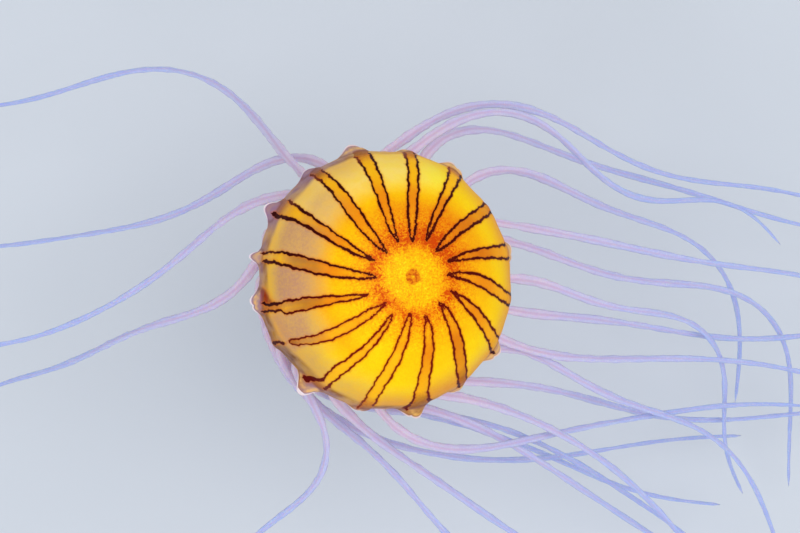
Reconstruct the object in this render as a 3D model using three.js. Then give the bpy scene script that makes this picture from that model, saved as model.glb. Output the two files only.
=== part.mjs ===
// Sea nettle jellyfish, life size, as a still museum model on a display stand.
//
// Millimetres, +Z up. The origin is the centre of the underside of the stand's base.
// The animal is a medusa: a domed bell with a hollow underside and a lobed margin,
// a manubrium (the mouth stalk) hanging in the hollow, four ruffled oral arms that
// trail below the mouth, and twenty-four marginal tentacles, three in each octant.
// The bell leans 17 degrees towards +X; most tentacles stream to +X, a few to -X.
// A vertical rod reaches up between the arms to the mouth and carries the animal.

import * as THREE from 'three';

// ---------------------------------------------------------------- driving sizes
const BELL_RADIUS = 80;          // at the widest ring of the bell
const BELL_HEIGHT = 58;          // from the plane of that ring to the crown
const BELL_TILT = 16.9;            // lean of the bell's axis from vertical, degrees
const BELL_EDGE_ANGLE = 94;      // polar angle of the margin, measured from the crown
const WALL_CROWN = 12;           // jelly thickness at the crown
const WALL_MID = 6.5;            // half way down
const WALL_EDGE = 1.6;           // at the margin

const OCTANTS = 8;
const LAPPETS = 32;              // four in each octant
const LAPPET_DEPTH = 2.6;        // depth of the notches between them, degrees of polar angle
const FLAP_AZIMUTH = 11.25;      // azimuth of the first paired rhopalar flap
const FLAP_OUT = [6.4, 6.1, 5.7, 6.8, 6.8, 9, 7.7, 7.3];        // how far each paired flap flares out
const FLAP_SHIFT = [1.4, 0.8, 3.1, 3.4, -0.9, -3.8, 1.5, 1.5];  // small irregularities of azimuth
const FLAP_HALF_WIDTH = [5.4, 6, 5.6, 4.4, 4.7, 5.5, 5, 5.1];   // degrees of azimuth
const MINOR_FLAP_OUT = [1.5, 2.9, 3.4, 6.9, 1.6, 3.4, 4.5, 1.5]; // flaps over the middle tentacles
const MINOR_FLAP_SHIFT = [0, 0.9, 3, 2.1, -3.5, -0.4, 1.2, 0];
const MINOR_HALF_WIDTH = [3.6, 4.1, 4.3, 2.7, 2.7, 4.4, 3.7, 3.6];
const FLAP_ROOT_ANGLE = 80;      // polar angle at which the flaps begin to lift
// the bell is a soft ring, not a true circle: outward swell of its margin at each of sixteen azimuths
const MARGIN_SWELL = [0.6, 0.3, -0.15, 1.1, 0.2, 0.5, 1, 1.2, -0.2, 1.2, -1.4, 0.5, 0.65, 1.3, 1.3, 1.8];

const MOUTH_HEIGHT = 5;          // mouth above the plane of the widest ring, along the axis
const MOUTH_ABOVE_BASE = 320;    // height of the mouth above the stand's underside
const MANUBRIUM_TOP_ANGLE = 15;  // polar angle of the ring where the stalk joins the bell
const JOINT_GAP = 0.4;           // clearance between pieces that meet

const TENTACLE_ROOT_RADIUS = 75;  // on a true circle; the margin's swell moves it
const TENTACLE_ROOT_HEIGHT = -2;
const TENTACLE_START_RADIUS = 2.6;
const TENTACLE_TIP_RADIUS = 1;
const TENTACLE_SIDES = 6;
const TENTACLE_STEPS = 9;        // in each of the two lengths
const TENTACLE_SUBSTEPS = 160;   // integration steps along one tentacle
const TENTACLE_HANG = 8;         // straight drop below the margin before the stream takes it
const TENTACLE_BEND = 34;        // length over which it turns into the stream

const ARMS = 4;
const ARM_STEPS = 9;             // in each of the two lengths
const ARM_DROP = 205;            // how far an arm hangs below the mouth

const BASE_RADIUS = 78;
const BASE_HEIGHT = 12;
const BASE_CHAMFER = 1.5;
const ROD_RADIUS = 3;

// One row for each tentacle, going round the margin:
// azimuth of its root, length, heading terms, first pitch, last pitch, pitch wave.
// Its heading at a fraction u of its length is the sum of term k times cos(k * pi * u), in
// degrees from +X; its pitch below horizontal goes from the first to the last value.
const TENTACLES = [
  [  0.00,  367, [  -34,   43,   -5,   -4,   18],  36,  30,    0],
  [ 22.50,  459, [  -34,   41,  -18,    3,   11],  60,  24,  -10],
  [ 33.75,  394, [  -10,    4,   -3,    4,   -2],  36,  24,    0],
  [ 45.00,  413, [  -25,   56,    0,   20,   10],  44,  30,    0],
  [ 67.50,  453, [    2,   26,   24,   12,    8],  44,  24,   10],
  [ 78.75,  379, [   -5,   26,   20,   18,  -16],  36,  24,  -10],
  [ 90.00,  443, [    2,   24,   21,    4,   -8],  44,  24,    0],
  [112.50,  392, [ -177,  -10,  -21,  -15,   -7],  60,  24,    0],
  [123.75,  415, [ -201,  -35,    0,   12,   -2],  52,  30,   10],
  [135.00,  318, [ -160,    2,  -17,   -6,   -4],  44,  18,    0],
  [157.50,  520, [  -37,  -32,  -14,   -6,    6],  60,  24,    0],
  [168.75,  390, [ -154,   10,   12,    6,    9],  44,  40,    0],
  [180.00,  526, [  -24,  -42,  -18,   -4,   -4],  44,  30,    0],
  [202.50,  451, [  -31,   -5,  -20,  -13,   -4],  44,  24,    0],
  [213.75,  414, [  -44,  -17,    0,   -7,   -7],  44,  24,   10],
  [225.00,  286, [ -111,   40,   12,   -7,  -10],  44,  30,    0],
  [247.50,  393, [  -37,  -10,   -4,   -2,   -3],  44,  24,   10],
  [258.75,  470, [  -28,   13,    6,    4,    0],  44,  30,    0],
  [270.00,  412, [   -7,  -20,  -22,   -9,   -5],  44,  24,    0],
  [292.50,  389, [  -31,   18,    7,   -2,    2],  44,  24,    0],
  [303.75,  423, [   -5,   -5,    7,    2,   -3],  44,  30,   10],
  [315.00,  406, [  -27,   38,    2,   15,   11],  44,  24,    0],
  [337.50,  380, [  -11,   -3,  -12,   -3,   -1],  44,  24,    0],
  [348.75,  393, [   -3,   -8,    3,   -2,   -3],  52,  24,    0],
];

// ---------------------------------------------------------------- helpers
const RAD = Math.PI / 180;
const smooth = (x) => { const t = Math.min(1, Math.max(0, x)); return t * t * (3 - 2 * t); };
const mix = (a, b, t) => a + (b - a) * t;

const AXIS = new THREE.Vector3(Math.sin(BELL_TILT * RAD), 0, Math.cos(BELL_TILT * RAD));
const MOUTH = new THREE.Vector3(0, 0, MOUTH_ABOVE_BASE);
const RIM_CENTRE = MOUTH.clone().addScaledVector(AXIS, -MOUTH_HEIGHT);
// the bell's own frame: its z is the axis, its x leans down towards +X
const BELL_FRAME = new THREE.Matrix4().makeBasis(
  new THREE.Vector3(Math.cos(BELL_TILT * RAD), 0, -Math.sin(BELL_TILT * RAD)),
  new THREE.Vector3(0, 1, 0), AXIS).setPosition(RIM_CENTRE);
const toWorld = (x, y, z) => new THREE.Vector3(x, y, z).applyMatrix4(BELL_FRAME);

// Closed solid from a list of vertex positions and triangles of their indices.
function solid(points, triangles) {
  const g = new THREE.BufferGeometry();
  g.setAttribute('position', new THREE.Float32BufferAttribute(points.flatMap((p) => [p.x, p.y, p.z]), 3));
  g.setIndex(triangles.flat());
  g.computeVertexNormals();
  return g;
}

// Triangles between two closed rings of na and nb points; nb is na or twice na.
function bridge(a, na, b, nb, flip, out) {
  for (let i = 0; i < na; i++) {
    const a0 = a + i, a1 = a + (i + 1) % na;
    const tris = [];
    if (nb === na) {
      const b0 = b + i, b1 = b + (i + 1) % nb;
      tris.push([a0, b0, b1], [a0, b1, a1]);
    } else {
      const b0 = b + 2 * i, b1 = b + 2 * i + 1, b2 = b + (2 * i + 2) % nb;
      tris.push([a0, b0, b1], [a0, b1, a1], [a1, b1, b2]);
    }
    for (const t of tris) out.push(flip ? [t[0], t[2], t[1]] : t);
  }
}

// ---------------------------------------------------------------- the bell
const wrap = (d) => ((d + 540) % 360) - 180;

// how far the margin is lifted outwards at an azimuth (degrees)
function flapOut(azimuth) {
  let out = 0;
  for (let k = 0; k < OCTANTS; k++) {
    const d = wrap(azimuth - (FLAP_AZIMUTH + FLAP_SHIFT[k] + 45 * k)) / FLAP_HALF_WIDTH[k];
    out += FLAP_OUT[k] * Math.exp(-Math.pow(Math.abs(d), 2.6));
    const m = wrap(azimuth - (FLAP_AZIMUTH + 22.5 + MINOR_FLAP_SHIFT[k] + 45 * k)) / MINOR_HALF_WIDTH[k];
    out += MINOR_FLAP_OUT[k] * Math.exp(-Math.pow(Math.abs(m), 2.6));
  }
  return out;
}

// outward swell of the margin at an azimuth (degrees)
function marginSwell(azimuth) {
  const n = MARGIN_SWELL.length, x = (((azimuth % 360) + 360) % 360) * n / 360, i = Math.floor(x);
  return mix(MARGIN_SWELL[i % n], MARGIN_SWELL[(i + 1) % n], smooth(x - i));
}

// polar angle of the margin, with its notches between the lappets
function edgeAngle(azimuth) {
  const s = Math.abs(Math.sin(azimuth * RAD * LAPPETS / 2));
  return BELL_EDGE_ANGLE - LAPPET_DEPTH * (1 - Math.pow(s, 0.7)) + 0.16 * flapOut(azimuth);
}

function wall(polar) {
  const t = polar / 90;
  return t < 0.5 ? mix(WALL_CROWN, WALL_MID, smooth(t / 0.5)) : mix(WALL_MID, WALL_EDGE, smooth((t - 0.5) / 0.5));
}

// a point of the bell in its own frame; depth 0 is the outer face, 1 the inner
function bellPoint(polar, azimuth, depth) {
  const p = polar * RAD, a = azimuth * RAD;
  const nr = Math.sin(p) / BELL_RADIUS, nz = Math.cos(p) / BELL_HEIGHT;
  const n = Math.hypot(nr, nz);
  const w = wall(polar) * depth;
  let r = BELL_RADIUS * Math.sin(p) - w * nr / n;
  let z = BELL_HEIGHT * Math.cos(p) - w * nz / n;
  r += marginSwell(azimuth) * smooth((polar - 45) / 35);
  const lift = (polar - FLAP_ROOT_ANGLE) / (BELL_EDGE_ANGLE - FLAP_ROOT_ANGLE);
  if (lift > 0) {
    const f = flapOut(azimuth);
    r += f * lift * lift;
    z += 0.45 * f * lift * lift * lift;
  }
  return new THREE.Vector3(r * Math.cos(a), r * Math.sin(a), z);
}

function bellGeometry() {
  // rings from the crown: polar angle (or the margin) and number of points
  const outer = [[9, 16], [18, 32], [29, 32], [40, 64], [51, 64], [62, 64], [71, 64], [79, 128], [85, 128], [91, 128], ['edge', 128]];
  const inner = [[MANUBRIUM_TOP_ANGLE, 16], [30, 32], [44, 32], [57, 64], [69, 64], [79, 128], [88, 128], ['edge', 128]];
  const points = [], tris = [];
  const addSide = (rings, depth, flip) => {
    const pole = points.push(bellPoint(0, 0, depth)) - 1;
    const starts = [];
    for (const [angle, n] of rings) {
      starts.push(points.length);
      for (let i = 0; i < n; i++) {
        const az = 360 * i / n;
        points.push(bellPoint(angle === 'edge' ? edgeAngle(az) : angle, az, depth));
      }
    }
    const n0 = rings[0][1];
    for (let i = 0; i < n0; i++) {
      const t = [pole, starts[0] + i, starts[0] + (i + 1) % n0];
      tris.push(flip ? [t[0], t[2], t[1]] : t);
    }
    for (let k = 1; k < rings.length; k++) bridge(starts[k - 1], rings[k - 1][1], starts[k], rings[k][1], flip, tris);
    return starts[starts.length - 1];
  };
  const outEdge = addSide(outer, 0, false);
  const inEdge = addSide(inner, 1, true);
  bridge(outEdge, 128, inEdge, 128, false, tris);
  return solid(points, tris);
}

// ---------------------------------------------------------------- the manubrium
// Four-sided stalk whose top follows the underside of the crown.
function manubriumGeometry() {
  const n = 16;
  const rings = [[0.72, 37], [0.52, 28], [0.43, 19], [0.42, 12], [0.5, MOUTH_HEIGHT + 2.5], [0.5, MOUTH_HEIGHT]];
  const points = [], tris = [];
  const topRing = [];
  for (let i = 0; i < n; i++) topRing.push(bellPoint(MANUBRIUM_TOP_ANGLE, 360 * i / n, 1));
  const top = topRing[0].x - 1.2;
  const pole = points.push(bellPoint(0, 0, 1).add(new THREE.Vector3(0, 0, -JOINT_GAP - 0.15))) - 1;
  const starts = [points.length];
  for (let i = 0; i < n; i++) {
    const a = 2 * Math.PI * i / n;
    points.push(new THREE.Vector3(top * Math.cos(a), top * Math.sin(a), topRing[i].z - JOINT_GAP));
  }
  for (const [f, z] of rings) {
    starts.push(points.length);
    for (let i = 0; i < n; i++) {
      const a = 2 * Math.PI * i / n;
      const r = top * f * (1 + 0.13 * (-Math.cos(4 * a)) * (z < 35 ? 1 : 0.4));
      points.push(new THREE.Vector3(r * Math.cos(a), r * Math.sin(a), z));
    }
  }
  for (let i = 0; i < n; i++) tris.push([pole, starts[0] + i, starts[0] + (i + 1) % n]);
  for (let k = 1; k < starts.length; k++) bridge(starts[k - 1], n, starts[k], n, false, tris);
  const foot = points.push(new THREE.Vector3(0, 0, MOUTH_HEIGHT)) - 1;
  const last = starts[starts.length - 1];
  for (let i = 0; i < n; i++) tris.push([foot, last + (i + 1) % n, last + i]);
  return solid(points, tris);
}

// ---------------------------------------------------------------- lengths of tentacle and arm
// A closed length swept through centres, each with two half-axes of its section.
function sweep(centres, axesU, axesV, sides) {
  const points = [], tris = [];
  centres.forEach((c, i) => {
    for (let k = 0; k < sides; k++) {
      const a = 2 * Math.PI * k / sides;
      points.push(c.clone().addScaledVector(axesU[i], Math.cos(a)).addScaledVector(axesV[i], Math.sin(a)));
    }
  });
  const n = centres.length;
  for (let i = 1; i < n; i++) bridge((i - 1) * sides, sides, i * sides, sides, true, tris);
  for (let k = 1; k + 1 < sides; k++) {
    tris.push([0, k + 1, k]);
    const e = (n - 1) * sides;
    tris.push([e, e + k, e + k + 1]);
  }
  return solid(points, tris);
}

// centre line of a tentacle, as TENTACLE_SUBSTEPS + 1 points
function tentacleLine([azimuth, length, heading, pitch0, pitch1, wave]) {
  const a = azimuth * RAD, root = TENTACLE_ROOT_RADIUS + marginSwell(azimuth);
  const p = toWorld(root * Math.cos(a), root * Math.sin(a), TENTACLE_ROOT_HEIGHT);
  const line = [p.clone()];
  const ds = length / TENTACLE_SUBSTEPS;
  for (let i = 0; i < TENTACLE_SUBSTEPS; i++) {
    const u = (i + 0.5) / TENTACLE_SUBSTEPS;
    let h = 0;
    heading.forEach((term, k) => { h += term * Math.cos(k * Math.PI * u); });
    h *= RAD;
    const d = (pitch0 + (pitch1 - pitch0) * smooth(u * 1.8) + wave * Math.sin(2 * Math.PI * u)) * RAD;
    const stream = new THREE.Vector3(Math.cos(d) * Math.cos(h), Math.cos(d) * Math.sin(h), -Math.sin(d));
    const w = smooth((u * length - TENTACLE_HANG) / TENTACLE_BEND);
    const dir = AXIS.clone().multiplyScalar(-(1 - w)).addScaledVector(stream, w).normalize();
    p.addScaledVector(dir, ds);
    line.push(p.clone());
  }
  return line;
}

const tentacleRadius = (u) => mix(TENTACLE_START_RADIUS, TENTACLE_TIP_RADIUS, Math.pow(u, 0.8));

// point and direction at a fraction u of a line of evenly spaced points
function along(line, u) {
  const n = line.length - 1;
  const x = Math.min(n - 1e-9, Math.max(0, u * n));
  const i = Math.floor(x);
  return line[i].clone().lerp(line[i + 1], x - i);
}
function direction(line, u) {
  return along(line, Math.min(1, u + 0.004)).sub(along(line, Math.max(0, u - 0.004))).normalize();
}

function tentacleLength(line, length, from, to) {
  const centres = [], us = [], vs = [];
  let u0 = null;
  for (let i = 0; i <= TENTACLE_STEPS; i++) {
    // shorter steps where the tentacle turns away from the margin
    let f = i / TENTACLE_STEPS;
    if (from === 0) f = mix(f, f * f, 0.35);
    const u = mix(from, to, f);
    const t = direction(line, u);
    if (!u0) u0 = new THREE.Vector3(0, 1, 0);
    u0 = u0.clone().addScaledVector(t, -u0.dot(t)).normalize();
    const v0 = t.clone().cross(u0);
    const r = tentacleRadius(u);
    centres.push(along(line, u));
    us.push(u0.clone().multiplyScalar(r));
    vs.push(v0.multiplyScalar(r));
  }
  return sweep(centres, us, vs, TENTACLE_SIDES);
}

// centre line of an oral arm: a loose spiral round the rod
function armPoint(k, u) {
  const phi = (45 + 90 * k + 38 * u + 16 * Math.sin(2 * Math.PI * 1.25 * u + k * 1.9) - 16 * Math.sin(k * 1.9)) * RAD;
  const rho = 8.5 + 14 * smooth(u * 2.6) + (12 + 4 * Math.sin(k * 2.3)) * u + 3 * Math.sin(2 * Math.PI * 2.2 * u + k) * u;
  const x = -9 * smooth(u * 1.4) + rho * Math.cos(phi);
  const y = rho * Math.sin(phi);
  const z = MOUTH_ABOVE_BASE - 1.8 - (ARM_DROP + 14 * Math.sin(1.7 * k + 0.6)) * u
    - (1 - smooth(u * 8)) * x * Math.tan(BELL_TILT * RAD);
  return new THREE.Vector3(x, y, z);
}
const armHalfWidth = (u) => 5 + 6 * smooth(u * 5) - 9 * smooth((u - 0.15) / 0.85);
const armHalfThickness = (u) => 1.9 - u;

function armLength(k, from, to) {
  const centres = [], us = [], vs = [];
  for (let i = 0; i <= ARM_STEPS; i++) {
    const u = mix(from, to, i / ARM_STEPS);
    const c = armPoint(k, u);
    const t = armPoint(k, Math.min(1, u + 0.01)).sub(armPoint(k, Math.max(0, u - 0.01))).normalize();
    // the band's flat faces look towards and away from the rod, turning slowly
    const turn = (55 * Math.sin(2 * Math.PI * 1.1 * u + k) * smooth(u * 3)) * RAD;
    const outward = new THREE.Vector3(c.x + 9 * smooth(u * 1.4), c.y, 0);
    outward.addScaledVector(t, -outward.dot(t)).normalize();
    const side = t.clone().cross(outward).normalize();
    const w = side.clone().multiplyScalar(Math.cos(turn)).addScaledVector(outward, Math.sin(turn));
    const n = t.clone().cross(w).normalize();
    centres.push(c);
    us.push(w.multiplyScalar(armHalfWidth(u)));
    vs.push(n.multiplyScalar(armHalfThickness(u)));
  }
  return sweep(centres, us, vs, 6);
}

// ---------------------------------------------------------------- materials
const material = (color, roughness, metalness = 0) => new THREE.MeshStandardMaterial({ color, roughness, metalness });
const BELL_COLOUR = 0xf2b01e, MOUTH_COLOUR = 0xe0a060, ARM_COLOUR = 0xe3c2b4;
const TENTACLE_COLOUR = 0xb79ac6, BASE_COLOUR = 0xd9dcdf, ROD_COLOUR = 0xb8bcc0;

// ---------------------------------------------------------------- assembly
const group = new THREE.Group();
function add(parent, name, geometry, mat) {
  const mesh = new THREE.Mesh(geometry, mat);
  mesh.name = name;
  parent.add(mesh);
  return mesh;
}

const medusa = new THREE.Group();
group.add(medusa);

const bellGroup = new THREE.Group();
bellGroup.applyMatrix4(BELL_FRAME);
medusa.add(bellGroup);
add(bellGroup, 'bell', bellGeometry(), material(BELL_COLOUR, 0.35));
add(bellGroup, 'manubrium', manubriumGeometry(), material(MOUTH_COLOUR, 0.4));

// the two lengths of an arm or tentacle meet with a gap of JOINT_GAP
for (let k = 0; k < ARMS; k++) {
  const cut = 0.5, gap = JOINT_GAP / (2 * ARM_DROP);
  add(medusa, `oral_arm_${k + 1}_upper`, armLength(k, 0, cut - gap), material(ARM_COLOUR, 0.4));
  add(medusa, `oral_arm_${k + 1}_lower`, armLength(k, cut + gap, 1), material(ARM_COLOUR, 0.4));
}

TENTACLES.forEach((row, i) => {
  const line = tentacleLine(row);
  const cut = 0.46, gap = JOINT_GAP / (2 * row[1]);
  const id = String(i + 1).padStart(2, '0');
  add(medusa, `tentacle_${id}_inner`, tentacleLength(line, row[1], 0, cut - gap), material(TENTACLE_COLOUR, 0.4));
  add(medusa, `tentacle_${id}_outer`, tentacleLength(line, row[1], cut + gap, 1), material(TENTACLE_COLOUR, 0.4));
});

const stand = new THREE.Group();
group.add(stand);
const baseProfile = [[0, 0], [BASE_RADIUS, 0], [BASE_RADIUS, BASE_HEIGHT - BASE_CHAMFER], [BASE_RADIUS - BASE_CHAMFER, BASE_HEIGHT], [0, BASE_HEIGHT]]
  .map(([x, y]) => new THREE.Vector2(x, y));
const base = add(stand, 'stand_base', new THREE.LatheGeometry(baseProfile, 48), material(BASE_COLOUR, 0.5, 0.2));
base.rotation.x = Math.PI / 2;

// the rod's top end is cut to the slope of the mouth
const rodFoot = BASE_HEIGHT + JOINT_GAP, rodTop = MOUTH_ABOVE_BASE - JOINT_GAP;
const rodGeometry = new THREE.CylinderGeometry(ROD_RADIUS, ROD_RADIUS, rodTop - rodFoot, 16);
rodGeometry.rotateX(Math.PI / 2).translate(0, 0, (rodTop + rodFoot) / 2);
const rodPoints = rodGeometry.attributes.position;
for (let i = 0; i < rodPoints.count; i++) {
  if (rodPoints.getZ(i) > rodTop - 1) rodPoints.setZ(i, rodTop - rodPoints.getX(i) * Math.tan(BELL_TILT * RAD));
}
rodGeometry.computeVertexNormals();
add(stand, 'stand_rod', rodGeometry, material(ROD_COLOUR, 0.3, 1));

export default group;
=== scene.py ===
# Sea nettle jellyfish, life size, as a still museum model on a rod and a round base.
# One skin carries bell, mouth stalk, oral arms and tentacles. Metres, +Z up.
import bpy
import math
import numpy as np
from mathutils import Matrix, Vector


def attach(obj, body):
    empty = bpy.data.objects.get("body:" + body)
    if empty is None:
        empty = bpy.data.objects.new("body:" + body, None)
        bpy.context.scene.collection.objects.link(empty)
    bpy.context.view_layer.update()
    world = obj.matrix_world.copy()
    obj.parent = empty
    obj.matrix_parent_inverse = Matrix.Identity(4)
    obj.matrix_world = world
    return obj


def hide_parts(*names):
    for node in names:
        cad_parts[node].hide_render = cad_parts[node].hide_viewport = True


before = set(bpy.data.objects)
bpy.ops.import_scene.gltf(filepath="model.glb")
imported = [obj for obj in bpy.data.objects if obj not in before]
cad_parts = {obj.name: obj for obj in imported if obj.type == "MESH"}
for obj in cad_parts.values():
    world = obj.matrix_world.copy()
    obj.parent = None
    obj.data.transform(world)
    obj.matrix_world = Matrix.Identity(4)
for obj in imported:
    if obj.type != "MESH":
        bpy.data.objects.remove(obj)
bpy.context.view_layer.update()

scene = bpy.context.scene
RAD = math.pi / 180
MM = 0.001

# ------------------------------------------------------------------ sizes, in millimetres as in the solids
BELL_RADIUS = 80.0
BELL_HEIGHT = 58.0
BELL_TILT = 16.9
BELL_EDGE_ANGLE = 94.0
WALL_CROWN, WALL_MID, WALL_EDGE = 12.0, 6.5, 1.6
LAPPETS = 32
LAPPET_DEPTH = 2.6
FLAP_AZIMUTH = 11.25
FLAP_OUT = [6.4, 6.1, 5.7, 6.8, 6.8, 9, 7.7, 7.3]
FLAP_SHIFT = [1.4, 0.8, 3.1, 3.4, -0.9, -3.8, 1.5, 1.5]
FLAP_HALF_WIDTH = [5.4, 6, 5.6, 4.4, 4.7, 5.5, 5, 5.1]
MINOR_FLAP_OUT = [1.5, 2.9, 3.4, 6.9, 1.6, 3.4, 4.5, 1.5]
MINOR_FLAP_SHIFT = [0, 0.9, 3, 2.1, -3.5, -0.4, 1.2, 0]
MINOR_HALF_WIDTH = [3.6, 4.1, 4.3, 2.7, 2.7, 4.4, 3.7, 3.6]
FLAP_ROOT_ANGLE = 80.0
MARGIN_SWELL = [0.6, 0.3, -0.15, 1.1, 0.2, 0.5, 1, 1.2, -0.2, 1.2, -1.4, 0.5, 0.65, 1.3, 1.3, 1.8]
MOUTH_HEIGHT = 5.0
MOUTH_ABOVE_BASE = 320.0
TENTACLE_ROOT_RADIUS, TENTACLE_ROOT_HEIGHT = 75.0, -2.0
TENTACLE_START_RADIUS, TENTACLE_TIP_RADIUS = 2.6, 1.0
TENTACLE_SUBSTEPS, TENTACLE_HANG, TENTACLE_BEND = 160, 8.0, 34.0
ARM_DROP = 205.0

# azimuth of the root, length, heading terms, first pitch, last pitch, pitch wave
TENTACLES = [
    (0.00, 367, (-34, 43, -5, -4, 18), 36, 30, 0),
    (22.50, 459, (-34, 41, -18, 3, 11), 60, 24, -10),
    (33.75, 394, (-10, 4, -3, 4, -2), 36, 24, 0),
    (45.00, 413, (-25, 56, 0, 20, 10), 44, 30, 0),
    (67.50, 453, (2, 26, 24, 12, 8), 44, 24, 10),
    (78.75, 379, (-5, 26, 20, 18, -16), 36, 24, -10),
    (90.00, 443, (2, 24, 21, 4, -8), 44, 24, 0),
    (112.50, 392, (-177, -10, -21, -15, -7), 60, 24, 0),
    (123.75, 415, (-201, -35, 0, 12, -2), 52, 30, 10),
    (135.00, 318, (-160, 2, -17, -6, -4), 44, 18, 0),
    (157.50, 520, (-37, -32, -14, -6, 6), 60, 24, 0),
    (168.75, 390, (-154, 10, 12, 6, 9), 44, 40, 0),
    (180.00, 526, (-24, -42, -18, -4, -4), 44, 30, 0),
    (202.50, 451, (-31, -5, -20, -13, -4), 44, 24, 0),
    (213.75, 414, (-44, -17, 0, -7, -7), 44, 24, 10),
    (225.00, 286, (-111, 40, 12, -7, -10), 44, 30, 0),
    (247.50, 393, (-37, -10, -4, -2, -3), 44, 24, 10),
    (258.75, 470, (-28, 13, 6, 4, 0), 44, 30, 0),
    (270.00, 412, (-7, -20, -22, -9, -5), 44, 24, 0),
    (292.50, 389, (-31, 18, 7, -2, 2), 44, 24, 0),
    (303.75, 423, (-5, -5, 7, 2, -3), 44, 30, 10),
    (315.00, 406, (-27, 38, 2, 15, 11), 44, 24, 0),
    (337.50, 380, (-11, -3, -12, -3, -1), 44, 24, 0),
    (348.75, 393, (-3, -8, 3, -2, -3), 52, 24, 0),
]

# The sixteen striped ribbons of the bell. Each runs from a tip near the crown to the margin and
# curves a little: polar angle and azimuth of its tip, then azimuth and half width as polynomials
# of t = (polar angle - 50) / 40, in degrees, then the half widths of its left and right line in
# millimetres at mid height and at the margin, how much each line fades to brown out there, and the
# polar angles at which the two lines end on the flap.
RIBBONS = [
    (16.0, 363.2, (352.75, -9.96, 10.38, 3.92, -4.62), (3.58, -2.92, 0.57, 5.25, -3.99), (0.74, 0.95, 0.74, 0.95), (0, 0), (90, 87)),
    (18.3, 22.0, (15.15, -6.33, 6.21, 1.4, -3.25), (3.4, 0.17, 0.19, 0.98, -1.95), (0.74, 0.95, 0.74, 0.95), (0, 0), (88, 86)),
    (16.0, 46.0, (38.71, -7.38, 5.09, 2.83, -5.12), (3.24, -1.47, 0.19, 0.34, 0.26), (0.8, 1.1, 0.74, 0.85), (0, 0.35), (88, 85)),
    (17.5, 67.0, (61.61, -6.43, 2.92, 0.3, -2.6), (2.87, 0.46, 0.65, -0.11, -0.69), (0.72, 1.0, 0.68, 0.8), (0, 0.75), (89, 87)),
    (15.5, 90.0, (83.61, -5.08, 4.3, -0.45, -3.95), (3.0, -1.7, 1.99, 1.44, -2.76), (0.7, 0.75, 0.7, 0.75), (0.1, 0.7), (90, 86)),
    (16.5, 112.5, (105.94, -4.84, 5.17, -2.62, -2.02), (3.31, -0.55, 0.79, 1.73, -1.67), (0.62, 0.7, 0.62, 0.7), (0.1, 0.6), (81.5, 79)),
    (15.0, 138.0, (128.2, -6.76, 7.6, -0.41, -4.85), (3.36, -3.01, 0.46, 3.84, -1.86), (0.62, 0.6, 0.62, 0.6), (0.3, 0.5), (83, 86)),
    (18.3, 157.4, (150.71, -6.85, 5.37, 0.91, -3.12), (2.93, -0.67, 2.55, 4.6, -5.02), (0.66, 0.7, 0.8, 1.15), (0.35, 0), (82.5, 88.5)),
    (15.8, 181.0, (172.92, -6.71, 4.73, 1.75, -1.35), (3.67, -2.0, -1.65, 1.8, -0.1), (0.64, 0.6, 0.74, 0.8), (0.1, 0.1), (87, 85.5)),
    (21.3, 201.4, (195.11, -2.46, 5.05, -6.62, 1.62), (3.22, 0.73, -5.34, -1.98, 6.66), (0.62, 0.9, 0.62, 0.7), (0, 0.1), (86, 89.5)),
    (16.5, 224.0, (216.03, -9.06, -3.03, 1.4, 6.35), (2.76, -3.22, 0.49, 3.09, -1.67), (0.58, 0.6, 0.56, 0.6), (0.45, 0.45), (93.5, 93.5)),
    (18.8, 242.0, (236.98, -7.64, 5.92, 5.47, -5.54), (2.99, 0.31, -0.44, 0.67, 1.27), (0.58, 2.3, 0.55, 1.0), (0, 0.15), (89, 85)),
    (15.8, 267.0, (259.32, -5.83, 7.82, 2.49, -3.74), (3.36, -2.04, 0.89, 2.32, -1.47), (0.55, 0.6, 0.58, 0.6), (0.5, 0.4), (90.5, 80.5)),
    (17.8, 291.0, (283.09, -6.41, 10.78, 4.55, -5.51), (3.5, -0.83, 2.86, 2.68, -3.68), (0.62, 2.0, 0.62, 1.4), (0, 0), (88.5, 84)),
    (16.8, 318.0, (306.96, -8.46, 10.01, 1.29, -1.71), (3.62, -2.73, -0.66, 3.29, -0.94), (0.72, 0.95, 0.68, 0.85), (0, 0), (88, 90)),
    (19.0, 341.6, (330.75, -8.55, 7.05, 2.71, -0.57), (3.35, -1.34, 1.39, 5.48, -5.17), (0.76, 1.0, 0.72, 0.9), (0, 0), (90, 86)),
]


# ------------------------------------------------------------------ helpers
def clamp01(x):
    return np.clip(x, 0.0, 1.0)


def smooth(x):
    x = np.clip(x, 0.0, 1.0)
    return x * x * (3 - 2 * x)


def mix(a, b, t):
    return a + (b - a) * t


def wrap(d):
    return (np.asarray(d) + 540.0) % 360.0 - 180.0


def bump(x, centre, width):
    return np.exp(-((x - centre) / width) ** 2)


def unit(v):
    return v / np.maximum(np.linalg.norm(v, axis=-1, keepdims=True), 1e-12)


AXIS = np.array([math.sin(BELL_TILT * RAD), 0, math.cos(BELL_TILT * RAD)])
SIDE_X = np.array([math.cos(BELL_TILT * RAD), 0, -math.sin(BELL_TILT * RAD)])
SIDE_Y = np.array([0, 1.0, 0])
RIM_CENTRE = np.array([0, 0, MOUTH_ABOVE_BASE]) - MOUTH_HEIGHT * AXIS


def to_world(p):
    p = np.asarray(p, float)
    return RIM_CENTRE + p[..., :1] * SIDE_X + p[..., 1:2] * SIDE_Y + p[..., 2:3] * AXIS


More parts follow.
